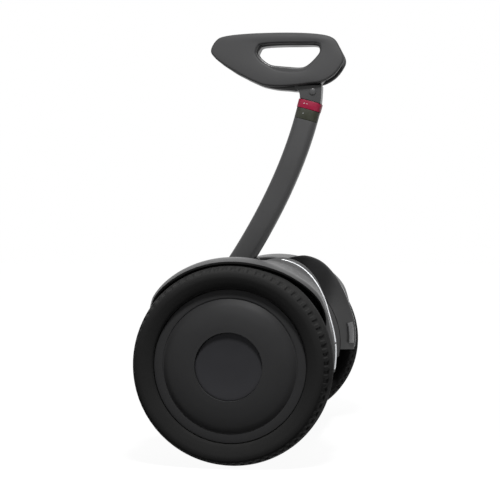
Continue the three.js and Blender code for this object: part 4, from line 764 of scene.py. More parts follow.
def keep_piece(name, mesh_data, finish_name, body, replaces=(), sharp=32):
    """Turns a finished bmesh into a piece that rides on a body."""
    mesh = bpy.data.meshes.new(name)
    mesh_data.to_mesh(mesh)
    mesh_data.free()
    mesh.materials.append(finish(finish_name))
    mesh.shade_smooth()
    mesh.set_sharp_from_angle(angle=sharp * DEGREE)
    piece = bpy.data.objects.new(name, mesh)
    bpy.context.scene.collection.objects.link(piece)
    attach(piece, body)
    if replaces:
        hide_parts(*replaces)
    return piece


def rounded_edges(piece, width, segments, angle):
    edge = piece.modifiers.new("rounded_edges", "BEVEL")
    edge.width = width
    edge.segments = segments
    edge.limit_method = "ANGLE"
    edge.angle_limit = angle * DEGREE
    edge.harden_normals = False


def join(target, part):
    """Adds a finished bmesh to another one."""
    mesh = bpy.data.meshes.new("part")
    part.to_mesh(mesh)
    part.free()
    target.from_mesh(mesh)
    bpy.data.meshes.remove(mesh)


def bevelled(target, edges, width, segments):
    bmesh.ops.bevel(target, geom=edges, offset=width, offset_type="OFFSET", segments=segments, profile=0.5,
                    affect="EDGES", clamp_overlap=True, material=-1)


def eased(points, radii, facets=4, closed=False):
    """The points with each inner corner turned into a short curve, as wide as its radius allows."""
    count = len(points)
    line = []
    for index, corner in enumerate(points):
        if not closed and index in (0, count - 1):
            line.append(corner)
            continue
        before, after = points[index - 1], points[(index + 1) % count]
        radius = radii[index] if hasattr(radii, "__len__") else radii
        start = corner + (before - corner).normalized() * min(radius, (before - corner).length * EASE_LIMIT)
        end = corner + (after - corner).normalized() * min(radius, (after - corner).length * EASE_LIMIT)
        for step in range(facets + 1):
            share = step / facets
            line.append(start * (1 - share) ** 2 + corner * 2 * share * (1 - share) + end * share ** 2)
    return line


def plane_points(pairs):
    return [Vector(pair) for pair in pairs]


def smooth_through(points, samples=SPAN_SAMPLES, closed=False):
    """A smooth line through the points, with the given number of samples on each span."""
    count = len(points)
    spans = count if closed else count - 1
    line = []
    for span in range(spans):
        before = points[span - 1] if closed or span > 0 else points[0]
        start, end = points[span], points[(span + 1) % count]
        after = points[(span + 2) % count] if closed or span + 2 < count else end
        for step in range(samples):
            t = step / samples
            line.append(0.5 * (2 * start + (end - before) * t
                               + (2 * before - 5 * start + 4 * end - after) * t * t
                               + (3 * start - before - 3 * end + after) * t ** 3))
    if not closed:
        line.append(points[-1].copy())
    return line


def evenly_spaced(line, samples):
    """Points at equal steps along a closed line."""
    lengths = [0.0]
    for here, there in zip(line, line[1:] + line[:1]):
        lengths.append(lengths[-1] + (there - here).length)
    spaced = []
    span = 0
    for sample in range(samples):
        target = lengths[-1] * sample / samples
        while lengths[span + 1] < target:
            span += 1
        share = (target - lengths[span]) / (lengths[span + 1] - lengths[span])
        spaced.append(line[span].lerp(line[(span + 1) % len(line)], share))
    return spaced


def woven(stations, points, place, cap=False):
    """A skin of stations by points, each where place(station, point) says, with its seams welded."""
    skin = bmesh.new()
    bmesh.ops.create_grid(skin, x_segments=stations - 1, y_segments=points - 1, size=0.5)
    for vert in skin.verts:
        station = round((vert.co.x + 0.5) * (stations - 1))
        point = round((vert.co.y + 0.5) * (points - 1))
        vert.co = place(station, point)
    bmesh.ops.remove_doubles(skin, verts=skin.verts, dist=TINY)
    if cap:
        open_edges = [edge for edge in skin.edges if edge.is_boundary]
        bmesh.ops.holes_fill(skin, edges=open_edges, sides=0)
    bmesh.ops.recalc_face_normals(skin, faces=skin.faces)
    return skin


def spun(outline, centre, axis, out, steps, closed=True):
    """A body of revolution. Each point of the outline is (radius, place along the axis)."""
    body = bmesh.new()
    verts = [body.verts.new(centre + out * point[0] + axis * point[1]) for point in outline]
    edges = [body.edges.new(pair) for pair in zip(verts, verts[1:])]
    if closed:
        edges.append(body.edges.new((verts[-1], verts[0])))
    bmesh.ops.spin(body, geom=verts + edges, cent=centre, axis=axis, dvec=(0, 0, 0), angle=2 * math.pi,
                   steps=steps, use_merge=True, use_duplicate=False)
    bmesh.ops.remove_doubles(body, verts=body.verts, dist=SPIN_WELD)
    bmesh.ops.recalc_face_normals(body, faces=body.faces)
    return body


def wheel_turned(outline, side, steps=WHEEL_STEPS, closed=True):
    """Spun round the wheel axis. Places along it run outwards from the wheel's middle plane."""
    centre = Vector((0, side * WHEEL_PLANE, AXLE_HEIGHT))
    return spun(outline, centre, Vector((0, side, 0)), Vector((0, 0, 1)), steps, closed)


def softened(node, width, finish_name, body, name=None):
    """A welded copy of a solid, with a small round on each sharp edge, that stands for it."""
    copy = bmesh.new()
    copy.from_mesh(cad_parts[node].data)
    bmesh.ops.remove_doubles(copy, verts=copy.verts, dist=SOLID_WELD)
    bmesh.ops.dissolve_limit(copy, angle_limit=FLAT_DEGREES * DEGREE, verts=copy.verts, edges=copy.edges)
    edges = [edge for edge in copy.edges
             if len(edge.link_faces) == 2 and edge.calc_face_angle(0) > SHARP_DEGREES * DEGREE]
    bevelled(copy, edges, width, 2)
    keep_piece(name or f"{node}_finished", copy, finish_name, body, [node], sharp=SHARP_DEGREES)


def dressed(node, finish_name):
    """A solid that stays as it is and only takes its finish."""
    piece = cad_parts[node]
    piece.data.materials.clear()
    piece.data.materials.append(finish(finish_name))


# Wheels

def mirrored(line):
    """The same points on the other side of the wheel's middle plane."""
    return [Vector((point.x, -point.y)) for point in line]


def tyre_outline():
    """Closed section of the tyre, from the bead outwards over the tread and back inside."""
    bead = RIM_SEAT + RIM_SEAT_GAP
    flange = RIM_RADIUS + RIM_SEAT_GAP
    wall = [Vector((bead + (TYRE_RADIUS - bead) * rise, TYRE_HALF * across))
            for rise, across in TYRE_OUTER_SHARES]
    outer = smooth_through([Vector((flange, BEAD_FACE + TYRE_LIP))] + wall, TYRE_SPAN_SAMPLES)
    crown = [Vector((TYRE_RADIUS, GROOVE_PLACE + offset)) for offset in GROOVE_POINTS]
    half = [Vector((bead, BEAD_FACE)), Vector((flange, BEAD_FACE))] + outer + crown
    inner = [Vector((bead, BEAD_FACE - TYRE_WALL))]
    inner += [Vector((bead + (TYRE_RADIUS - TYRE_WALL - bead) * rise, (TYRE_HALF - TYRE_WALL) * across))
              for rise, across in TYRE_INNER_SHARES]
    return half + mirrored(half[::-1]) + mirrored(inner) + inner[::-1]


def tyre(name, side):
    """A tyre whose tread has two grooves round it and notches along both shoulders."""
    body = wheel_turned(tyre_outline(), side, TREAD_STEPS)
    notches = sizes().tread_notches
    depth = sizes().tread_depth
    for vert in body.verts:
        across = abs(vert.co.y - side * WHEEL_PLANE)
        up = vert.co.z - AXLE_HEIGHT
        out = math.hypot(vert.co.x, up)
        inside = out < TYRE_RADIUS - TREAD_THICK and across < TREAD_MIDDLE_SHARE * TYRE_HALF
        if inside or out < TYRE_RADIUS - SHOULDER_DEPTH:
            continue
        turn = math.atan2(vert.co.x, up) / (2 * math.pi) * notches
        on_shoulder = NOTCH_INNER_SHARE < across / TYRE_HALF < NOTCH_OUTER_SHARE
        in_notch = abs(turn % 1.0 - 0.5) < NOTCH_WIDTH_SHARE / 2 and on_shoulder
        in_groove = abs(across - GROOVE_PLACE) < GROOVE_HALF
        if in_notch or in_groove:
            share = (out - depth) / out
            vert.co.x *= share
            vert.co.z = AXLE_HEIGHT + up * share
    keep_piece(f"tyre_{name}_tread", body, "tyre", f"wheel_{name}", [f"tyre_{name}"], sharp=30)


def hub_cover(name, side):
    """A flat border, a groove, a low dome and the recess of the centre cap."""
    face = HUB_BACK + HUB_WALL
    rise = HUB_FRONT - face
    start = HUB_DOME_RADIUS - HUB_GROOVE
    dome = smooth_through([Vector((start + (HUB_RECESS_RADIUS - start) * inwards, face + rise * up))
                           for inwards, up in DOME_SHARES], DISH_SPAN_SAMPLES)
    floor = HUB_FRONT - HUB_RECESS_DEPTH
    wall = HUB_RECESS_RADIUS + HUB_WALL
    corners = plane_points([
        (HUB_RADIUS, HUB_BACK), (HUB_RADIUS, face), (HUB_DOME_RADIUS, face),
        (HUB_DOME_RADIUS, face - HUB_GROOVE_DEPTH), (start, face - HUB_GROOVE_DEPTH)])
    inside = plane_points([
        (HUB_RECESS_RADIUS, floor), (BEARING_SEAT, floor), (BEARING_SEAT, floor - HUB_WALL),
        (wall, floor - HUB_WALL), (wall, face), (start - HUB_WALL, HUB_BACK)])
    edge = sizes().moulded_edge * TRIM_EDGE_SHARE
    outline = (eased(corners + [dome[0]], edge, EDGE_FACETS)[:-1] + dome[:-1]
               + eased([dome[-2], dome[-1], inside[0]], edge, EDGE_FACETS)[1:-1] + inside)
    keep_piece(f"hub_cover_{name}_dome", wheel_turned(outline, side), "hub", f"wheel_{name}",
               [f"hub_cover_{name}"], sharp=40)


def centre_cap(name, side):
    """A dished cap on a short spigot."""
    spigot = BEARING_SEAT - RIM_SEAT_GAP
    shoulder = CAP_BACK + HUB_WALL
    lip = CAP_RADIUS * CAP_RIM_SHARE
    bend, fall = CAP_BEND_SHARES
    border = plane_points([(0, CAP_BACK), (spigot, CAP_BACK), (spigot, shoulder), (CAP_RADIUS, shoulder),
                           (CAP_RADIUS, CAP_FRONT), (lip, CAP_FRONT)])
    dish = smooth_through(plane_points([
        (lip, CAP_FRONT), (CAP_RADIUS * bend, CAP_FRONT - CAP_DISH * fall), (0, CAP_FRONT - CAP_DISH)]),
        DISH_SPAN_SAMPLES)
    outline = eased(border, sizes().moulded_edge * CAP_EDGE_SHARE, EDGE_FACETS) + dish[1:]
    keep_piece(f"centre_cap_{name}_face", wheel_turned(outline, side, CAP_STEPS, closed=False), "hub_cap",
               f"wheel_{name}", [f"centre_cap_{name}"], sharp=40)


def rim(name, side):
    """The drum with its two flanges and an open well, seen past the tyre on the deck side."""
    inside = RIM_SEAT - RIM_WALL
    seat = BEAD_FACE + RIM_SEAT_GAP
    face = RIM_HALF - RIM_WEB_SETBACK
    boss = BEARING_SEAT + BOSS_WALL
    corners = plane_points([
        (inside, -RIM_HALF), (RIM_RADIUS, -RIM_HALF), (RIM_RADIUS, -seat), (RIM_SEAT, -seat),
        (RIM_SEAT, seat), (RIM_RADIUS, seat), (RIM_RADIUS, RIM_HALF), (inside, RIM_HALF), (inside, face),
        (BEARING_SEAT, face), (BEARING_SEAT, face - RIM_BOSS_LENGTH), (boss, face - RIM_BOSS_LENGTH),
        (boss, face - RIM_WEB), (inside, face - RIM_WEB)])
    outline = eased(corners, sizes().cast_edge, CAST_FACETS, closed=True)
    keep_piece(f"rim_{name}_drum", wheel_turned(outline, side), "drum", f"wheel_{name}",
               [f"rim_{name}"])


def rotor_cover(name, side):
    """Inner end of the hub motor: a turned plate with a boss, a ring-shaped recess and its screws."""
    back = -RIM_HALF
    front = back + COVER_THICK
    boss = BEARING_SEAT + BOSS_WALL
    corners = plane_points([
        (BEARING_SEAT, back),
        *[(BEARING_SEAT + inwards, back + deep) for inwards, deep in COVER_RING_INNER],
        *[(COVER_RADIUS - inwards, back + deep) for inwards, deep in COVER_RING_OUTER],
        (COVER_RADIUS, back), (COVER_RADIUS, front), (boss, front), (boss, front + COVER_BOSS_LENGTH),
        (BEARING_SEAT, front + COVER_BOSS_LENGTH)])
    outline = eased(corners, sizes().cast_edge, CAST_FACETS, closed=True)
    keep_piece(f"rotor_cover_{name}_plate", wheel_turned(outline, side), "alloy", f"wheel_{name}",
               [f"rotor_cover_{name}"])
    screws = bmesh.new()
    out = COVER_RADIUS - MOTOR_SCREW_INSET
    for index in range(MOTOR_SCREWS):
        turn = (index + 0.5) / MOTOR_SCREWS * 2 * math.pi
        place = Vector((math.sin(turn) * out, side * (WHEEL_PLANE + back),
                        AXLE_HEIGHT + math.cos(turn) * out))
        add_screw(screws, place, Vector((0, -side, 0)), MOTOR_SCREW_RADIUS)
    keep_piece(f"rotor_screws_{name}", screws, "steel", f"wheel_{name}")


def valve(name, side):
    """A ribbed valve on the deck side of a wheel."""
    low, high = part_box(f"valve_stem_{name}")
    length = high.y - low.y
    centre = Vector(((low.x + high.x) / 2, low.y if side > 0 else high.y, (low.z + high.z) / 2))
    ribs = [(VALVE_RIB_RADII[rib % 2], (1 + rib) * VALVE_RIB_PITCH) for rib in range(VALVE_RIBS)]
    outline = plane_points([*VALVE_NOSE, *ribs, (VALVE_NECK_RADIUS, VALVE_NECK_START),
                            (VALVE_NECK_RADIUS, length), (0, length)])
    body = spun(outline, centre, Vector((0, side, 0)), Vector((1, 0, 0)), VALVE_STEPS, closed=False)
    keep_piece(f"valve_{name}", body, "tyre", f"wheel_{name}", [f"valve_stem_{name}"], sharp=50)


def add_screw(target, place, axis, radius):
    """A small domed screw with a round drive recess."""
    out = axis.orthogonal().normalized()
    outline = [point * radius for point in plane_points(SCREW_SHARES)]
    join(target, spun(outline, place, axis.normalized(), out, SCREW_STEPS, closed=False))


# Fenders

def follow(line, turn):
    """Place of a fender line at one turn, by a smooth curve through its neighbouring points."""
    last = len(line) - 1
    start = next((index for index in range(last) if line[index + 1][0] > turn), last - 1)
    span = line[start + 1][0] - line[start][0]
    part = (turn - line[start][0]) / span

    def slope(at, column):
        before, after = line[max(0, at - 1)], line[min(last, at + 1)]
        return (after[column] - before[column]) / (after[0] - before[0])

    found = []
    for column in (1, 2):
        found.append(line[start][column] * (2 * part ** 3 - 3 * part ** 2 + 1)
                     + span * slope(start, column) * (part ** 3 - 2 * part ** 2 + part)
                     + line[start + 1][column] * (3 * part ** 2 - 2 * part ** 3)
                     + span * slope(start + 1, column) * (part ** 3 - part ** 2))
    return Vector((GUARD_INNER + (LIP_OUTER - GUARD_INNER) * found[0], CROWN_RADIUS * found[1]))


def flank_at(turn):
    """The crest of the ridge and the foot of its flank on the wheel's side."""
    ridge, valley = follow(RIDGE_SHARES, turn), follow(VALLEY_SHARES, turn)
    run = min(CREST_WIDTH, (valley.x - ridge.x) * CREST_SHARE)
    crest = Vector((ridge.x + run, ridge.y))
    flank = Vector((ridge.x + 2 * run, ridge.y + (valley.y - ridge.y) * FLANK_SHARE))
    return crest, flank


def round_wheel(side, point, turn):
    angle = turn * DEGREE
    return Vector((-point.y * math.sin(angle), side * point.x, AXLE_HEIGHT + point.y * math.cos(angle)))


def turns_between(ends, count):
    return [ends[0] + (ends[1] - ends[0]) * index / (count - 1) for index in range(count)]


def lofted(side, sections, turns, closed=False):
    """A skin through sections that stand at their turns round the wheel axis."""
    points = len(sections[0])

    def place(station, point):
        return round_wheel(side, sections[station][point % points], turns[station])

    return woven(len(turns), points + 1 if closed else points, place, cap=closed)


def fender(name, side):
    """A fender lofted through the lines that run round it, with a black inner face."""
    turns = turns_between(FENDER_TURNS, FENDER_STATIONS)
    sections = []
    for turn in turns:
        crest, flank = flank_at(turn)
        corners = [
            follow(LIP_SHARES, turn), follow(CROWN_SHARES, turn), follow(VALLEY_SHARES, turn), flank, crest,
            follow(RIDGE_SHARES, turn), Vector((LINER_FACE, EDGE_RADIUS))]
        sections.append(eased(corners, FENDER_EASE, FENDER_FACETS))
    skin = lofted(side, sections, turns)
    axle = Vector((0, side * WHEEL_PLANE, AXLE_HEIGHT))
    facing = sum(face.normal.dot(face.calc_center_median() - axle) * face.calc_area() for face in skin.faces)
    if facing < 0:
        bmesh.ops.reverse_faces(skin, faces=skin.faces)
    piece = keep_piece(f"fender_{name}_shell", skin, "shell", "chassis", [f"fender_{name}"],
                       sharp=50)
    wall = piece.modifiers.new("wall", "SOLIDIFY")
    wall.thickness = FENDER_WALL
    wall.offset = -1
    wall.use_even_offset = True
    piece.data.materials.append(finish("deep"))
    wall.material_offset = 1
    wall.material_offset_rim = 1
    rounded_edges(piece, sizes().moulded_edge, segments=3, angle=50)


def light_strip(name, side):
    """The strip on the ridge's flank, in two lengths with a short break between them."""
    half_break = LIGHT_BREAK_DEGREES / 2
    first, last = LIGHT_TURNS
    strip = bmesh.new()
    for ends in ((first, LIGHT_BREAK_TURN - half_break), (LIGHT_BREAK_TURN + half_break, last)):
        turns = turns_between(ends, round((ends[1] - ends[0]) / LIGHT_STEP_DEGREES) + 1)
        join(strip, lofted(side, [light_section(turn) for turn in turns], turns, closed=True))
    keep_piece(f"light_strip_{name}_diffuser", strip, "light", "chassis",
               [f"light_strip_{name}"], sharp=50)


def light_section(turn):
    """Section of the strip at one turn. It starts narrow and grows to its full width."""
    crest, flank = flank_at(turn)
    along = (flank - crest).normalized()
    lift = Vector((-along.y, along.x))
    middle = (crest + flank) / 2
    growth = LIGHT_GROWTH_SHARE * (turn - LIGHT_TURNS[0]) / LIGHT_GROWTH_DEGREES
    half = LIGHT_WIDTH / 2 * min(1, LIGHT_START_SHARE + growth)
    corners = [middle - along * half - lift * LIGHT_SUNK, middle + along * half - lift * LIGHT_SUNK,
               middle + along * half + lift * LIGHT_PROUD, middle - along * half + lift * LIGHT_PROUD]
    return eased(corners, LIGHT_EDGE, 2, closed=True)


# Stem

def stem_line(share):
    foot_pull = Vector((math.sin(STEM_FOOT_LEAN), 0, math.cos(STEM_FOOT_LEAN))) * STEM_FOOT_PULL
    top_pull = Vector((math.sin(STEM_TOP_LEAN), 0, -math.cos(STEM_TOP_LEAN))) * STEM_TOP_PULL
    first = Vector((STEM_FOOT.x - foot_pull.x, 0, STEM_FOOT.z + foot_pull.z))
    second = STEM_TOP + top_pull
    rest = 1 - share
    return (STEM_FOOT * rest ** 3 + first * 3 * rest ** 2 * share
            + second * 3 * rest * share ** 2 + STEM_TOP * share ** 3)


def forwards_of(along):
    """The direction forwards, square to one that runs up the stem."""
    return Vector((along.z, 0, -along.x))


def stem_frame(share):
    """Place on the stem's middle line and the direction forwards, square to it."""
    along = (stem_line(share + STEM_STEP_SHARE) - stem_line(share - STEM_STEP_SHARE)).normalized()
    return stem_line(share), forwards_of(along)


def top_frame(distance):
    """The same on the straight top, at a distance above the stem's end."""
    return STEM_TOP + TOP_ALONG * distance, forwards_of(TOP_ALONG)


def bar_section(half_depth, half_breadth, corner, inset):
    """A rectangle with round corners, as (forwards, across)."""
    depth, breadth = half_depth - inset, half_breadth - inset
    radius = max(corner - inset, SMALLEST_CORNER)
    ring = []
    for quarter in range(4):
        towards_depth = 1 if quarter in (0, 3) else -1
        towards_breadth = 1 if quarter in (0, 1) else -1
        for step in range(CORNER_FACETS + 1):
            angle = (quarter + step / CORNER_FACETS) * math.pi / 2
            ring.append(Vector((towards_depth * (depth - radius) + radius * math.cos(angle),
                                towards_breadth * (breadth - radius) + radius * math.sin(angle))))
    return ring


def bar(frames, insets, half_depth, half_breadth, corner):
    """A closed bar through frames of (place, forwards direction), each with its own inset."""
    rings = [bar_section(half_depth, half_breadth, corner, inset) for inset in insets]
    count = len(rings[0])

    def place(station, point):
        middle, forwards = frames[station]
        across = rings[station][point % count]
        return middle + forwards * across.x + Vector((0, across.y, 0))

    return woven(len(frames), count + 1, place, cap=True)


def edge_insets(distances, edge):
    """Insets that round both ends of a bar whose stations lie at these distances."""
    ends = distances[0], distances[-1]
    insets = []
    for distance in distances:
        depth = min(distance - ends[0], ends[1] - distance)
        insets.append(edge - math.sqrt(max(0.0, edge ** 2 - max(0.0, edge - depth) ** 2)))
    return insets


def straight_distances(start, end, edge):
    """Stations of a straight bar, close together where its ends are rounded."""
    rounding = [edge * (1 - math.cos(step * math.pi / (2 * END_FACETS))) for step in range(END_FACETS + 1)]
    return [start + step for step in rounding] + [end - step for step in reversed(rounding)]


def stem_tube():
    shares = [STEM_START_SHARE + STEM_SPAN_SHARE * index / (STEM_STATIONS - 1)
              for index in range(STEM_STATIONS)]
    piece = bar([stem_frame(share) for share in shares], [0.0] * len(shares),
                STEM_DEPTH / 2, STEM_BREADTH / 2, STEM_CORNER)
    keep_piece("stem_tube_coated", piece, "stem", "stem", ["stem_tube"], sharp=50)


def stem_socket():
    """The cast arm of the socket, and the sleeve round the stem's foot."""
    softened("stem_socket", sizes().cast_edge, "stem", "stem", name="stem_arm")
    middle = [(SOCKET_SHARE * index / SOCKET_STATIONS, 0.0) for index in range(SOCKET_STATIONS)]
    stations = [*SOCKET_FOOT, *middle, *SOCKET_MOUTH]
    cup = bar([stem_frame(share) for share, _ in stations], [inset for _, inset in stations],
              STEM_DEPTH / 2 + SOCKET_WALL, STEM_BREADTH / 2 + SOCKET_WALL, STEM_CORNER + SOCKET_WALL)
    keep_piece("stem_socket_sleeve", cup, "stem", "stem", sharp=50)


def ring_bar(name, start, end, proud, finish_name, node):
    distances = straight_distances(start, end, RING_EDGE)
    piece = bar([top_frame(distance) for distance in distances], edge_insets(distances, RING_EDGE),
                STEM_DEPTH / 2 + proud, STEM_BREADTH / 2 + proud, STEM_CORNER)
    keep_piece(name, piece, finish_name, "stem", [node], sharp=50)


def scale_ticks():
    """Short marks on both sides of the collar and the sleeve, as on a plain height scale."""
    marks = bmesh.new()
    for distance, forwards, length in TICK_PLACES:
        middle, ahead = top_frame(distance)
        proud = COLLAR_PROUD if distance > COLLAR_START else 0.0
        for side in SIDES.values():
            add_tick(marks, middle + ahead * forwards, side, length, STEM_BREADTH / 2 + proud)
    keep_piece("scale_ticks", marks, "tick", "stem")


def stem_plugs():
    """A small black plug on each side of the stem, just above its socket."""
    run = stem_line(PLUG_SHARE + PLUG_STEP_SHARE) - stem_line(PLUG_SHARE - PLUG_STEP_SHARE)
    along = run.normalized()
    middle, ahead = stem_frame(PLUG_SHARE)
    plugs = bmesh.new()
    for side in SIDES.values():
        plug = bmesh.new()
        add_rounded_block(plug, (-PLUG_DEPTH / 2, -PLUG_LENGTH / 2, 0),
                          (PLUG_DEPTH / 2, PLUG_LENGTH / 2, PLUG_THICK), PLUG_CORNER, PLUG_EDGE)
        across = side * (STEM_BREADTH / 2 + PLUG_PROUD - PLUG_THICK)
        place = middle - ahead * PLUG_SETBACK + Vector((0, across, 0))
        turn = Matrix((ahead, along, Vector((0, side, 0)))).transposed().to_4x4()
        bmesh.ops.transform(plug, matrix=Matrix.Translation(place) @ turn, verts=plug.verts)
        bmesh.ops.recalc_face_normals(plug, faces=plug.faces)
        join(plugs, plug)
    keep_piece("stem_plugs", plugs, "deep", "stem", sharp=50)


def add_tick(target, middle, side, length, reach):
    """One raised mark, with its long edges eased."""
    turn = Matrix.Rotation(-STEM_TOP_LEAN, 4, "Y")
    place = Matrix.Translation(middle + Vector((0, side * reach, 0))) @ turn
    size = Matrix.Diagonal((TICK_WIDTH, TICK_THICK, length, 1))
    made = bmesh.ops.create_cube(target, size=1, matrix=place @ size)
    edges = list({edge for vert in made["verts"] for edge in vert.link_edges
                  if abs((edge.verts[0].co - edge.verts[1].co).normalized().dot(TOP_ALONG)) < 0.5})
    bevelled(target, edges, TICK_EDGE, 1)


# Head

def head_curve(shares):
    points = [Vector((HEAD_REAR + HEAD_LENGTH * along, HEAD_LOW + HEAD_HEIGHT * up)) for along, up in shares]
    return evenly_spaced(smooth_through(points, closed=True), HEAD_SAMPLES)


def sideways(line, sign):
    """Unit directions square to a closed line, to its left for +1 and its right for -1."""
    count = len(line)
    found = []
    for index in range(count):
        along = (line[(index + 2) % count] - line[index - 2]).normalized()
        found.append(Vector((-along.y, along.x)) * sign)
    return found


def loop_body(outline_shares, hole_shares, section):
    """A closed loop between an outline and a hole. A section point is (share of the way from the
    outline to the hole, inset from the nearer line, place across)."""
    outline, hole = head_curve(outline_shares), head_curve(hole_shares)
    inwards, outwards = sideways(outline, 1), sideways(hole, -1)
    samples, count = len(outline), len(section)

    def place(station, point):
        share, inset, across = section[station % count]
        index = point % samples
        start = outline[index] + inwards[index] * inset
        end = hole[index] + outwards[index] * inset
        here = start.lerp(end, share)
        return Vector((here.x, across, here.y))

    return woven(count + 1, samples + 1, place)


def quarter_round(radius, steps):
    """Insets and rises of a quarter round, from the side of a piece up to its face."""
    turns = [math.pi / 2 * step / steps for step in range(steps + 1)]
    return [(radius * (1 - math.cos(turn)), radius * math.sin(turn)) for turn in turns]


def core_section():
    """Section of the carrying loop, with the same round on all four edges."""
    flat = CORE_HALF - CORE_EDGE
    up = [(0, inset, flat + rise) for inset, rise in quarter_round(CORE_EDGE, CORE_EDGE_FACETS)]
    face = [(step / FACE_STEPS, CORE_EDGE, CORE_HALF) for step in range(1, FACE_STEPS)]
    half = up + face + [(1, inset, across) for _, inset, across in reversed(up)]
    return half + [(share, inset, -across) for share, inset, across in reversed(half)]


def pad_section(side):
    """Round front edge, a little crown in the middle and a smaller round behind."""
    low, high = CORE_HALF + PAD_GAP, CORE_HALF + PAD_GAP + PAD_THICK
    crown = sizes().pad_crown
    front = high - crown
    edge, back = sizes().pad_round, PAD_BACK_EDGE
    rise = [(0, inset, front - edge + up) for inset, up in quarter_round(edge, PAD_EDGE_FACETS)]
    face = [(step / FACE_STEPS, edge,
             front + crown * math.sin(math.pi * step / FACE_STEPS) ** PAD_CROWN_POWER)
            for step in range(1, FACE_STEPS)]
    fall = [(1, inset, across) for _, inset, across in reversed(rise)]
    behind = [(inset, low + back - up) for inset, up in quarter_round(back, PAD_BACK_FACETS)]
    hole_back = [(1, inset, across) for inset, across in behind]
    rear = [(1 - step / FACE_STEPS, back, low) for step in range(1, FACE_STEPS)]
    outer_back = [(0, inset, across) for inset, across in reversed(behind)]
    section = rise + face + fall + hole_back + rear + outer_back
    return [(share, inset, side * across) for share, inset, across in section]


def knee_pad(name, side):
    body = loop_body(PAD_OUTLINE_SHARES, PAD_HOLE_SHARES, pad_section(side))
    piece = keep_piece(f"knee_pad_{name}_skin", body, "pad", "head", [f"knee_pad_{name}"],
                       sharp=70)


def neck_body():
    """The neck under the head, which reaches a little way up into the loop."""
    middle, forwards = top_frame(NECK_START)
    front_low = middle + forwards * NECK_DEPTH / 2
    rear_low = middle - forwards * NECK_DEPTH / 2
    half_up = (front_low.z + NECK_TOP) / 2
    top = NECK_TOP + NECK_OVERLAP
    corners = plane_points([
        (rear_low.x, rear_low.z), (front_low.x, front_low.z), (front_low.x, half_up),
        (front_low.x + NECK_DEPTH / 5, top), (rear_low.x - CORE_EDGE, top),
        (rear_low.x - CORE_EDGE / 2, (rear_low.z + NECK_TOP) / 2)])
    outline = eased(corners, NECK_EASE, EDGE_FACETS, closed=True)
    body = bmesh.new()
    half = NECK_BREADTH / 2
    loop = [body.verts.new((point.x, -half, point.y)) for point in outline]
    face = body.faces.new(loop)
    raised = bmesh.ops.extrude_face_region(body, geom=[face])["geom"]
    moved = [item for item in raised if isinstance(item, bmesh.types.BMVert)]
    bmesh.ops.translate(body, verts=moved, vec=(0, NECK_BREADTH, 0))
    bmesh.ops.recalc_face_normals(body, faces=body.faces)
    sides = [edge for edge in body.edges if abs(edge.verts[0].co.y - edge.verts[1].co.y) < 0.1 * MM]
    bevelled(body, sides, NECK_EDGE, 3)
    return body


def head_shell():
    """The loop and its neck, fused as one moulding with soft inner corners."""
    body = loop_body(CORE_OUTLINE_SHARES, CORE_HOLE_SHARES, core_section())
    join(body, neck_body())
    piece = keep_piece("head_shell_moulding", body, "head", "head", ["head_core"], sharp=180)
    fuse = piece.modifiers.new("fuse", "REMESH")
    fuse.mode = "VOXEL"
    fuse.voxel_size = HEAD_VOXEL
    fuse.use_smooth_shade = True
    ease = piece.modifiers.new("ease", "SMOOTH")
    ease.factor = HEAD_EASE_FACTOR
    ease.iterations = HEAD_EASE_ROUNDS


# Deck and covers

def foot_mat(name):
    """A rubber slab with rounded ribs across the foot."""
    low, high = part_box(f"foot_mat_{name}")
    slab_top = high.z - RIB_HEIGHT
    mat = bmesh.new()
    add_rounded_block(mat, (low.x, low.y, high.z - MAT_THICK), (high.x, high.y, slab_top),
                      MAT_CORNER, MAT_EDGE)
    ribs = sizes().mat_ribs
    pitch = (high.x - low.x - 2 * MAT_BORDER) / ribs
    for rib in range(ribs):
        start = low.x + MAT_BORDER + pitch * rib + pitch * RIB_GAP_SHARE
        inset = END_RIB_INSET if rib in (0, ribs - 1) else RIB_INSET
        add_rounded_block(mat, (start, low.y + inset, slab_top - RIB_SUNK),
                          (start + pitch * RIB_WIDTH_SHARE, high.y - inset, high.z),
                          pitch * RIB_CORNER_SHARE, RIB_EDGE)
    keep_piece(f"foot_mat_{name}_ribbed", mat, "mat", f"mat_{name}", [f"foot_mat_{name}"], sharp=50)


def add_rounded_block(target, low, high, corner, edge):
    """A block with round upright corners and a round on its upper edge."""
    block = bmesh.new()
    size = [top - bottom for bottom, top in zip(low, high)]
    middle = Vector([(top + bottom) / 2 for bottom, top in zip(low, high)])
    bmesh.ops.create_cube(block, size=1, matrix=Matrix.Translation(middle) @ Matrix.Diagonal((*size, 1)))
    upright = [e for e in block.edges if abs(e.verts[0].co.z - e.verts[1].co.z) > size[2] / 2]
    bevelled(block, upright, corner, 6)
    bevelled(block, [e for e in block.edges if min(v.co.z for v in e.verts) > high[2] - TINY], edge, 3)
    join(target, block)


def charge_bars():
    """Plain bars behind the display window that show the state of charge."""
    low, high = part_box("display_window")
    bars = bmesh.new()
    pitch = (high.y - low.y - 2 * CHARGE_BORDER) / CHARGE_BARS
    for index in range(CHARGE_BARS):
        start = low.y + CHARGE_BORDER + pitch * index
        add_rounded_block(
            bars, (low.x + CHARGE_END_BORDER, start + pitch * CHARGE_GAP_SHARE, high.z - CHARGE_SUNK),
            (high.x - CHARGE_END_BORDER, start + pitch * (1 - CHARGE_GAP_SHARE), high.z + CHARGE_PROUD),
            CHARGE_CORNER, CHARGE_EDGE)
    keep_piece("charge_bars", bars, "tick", "chassis")


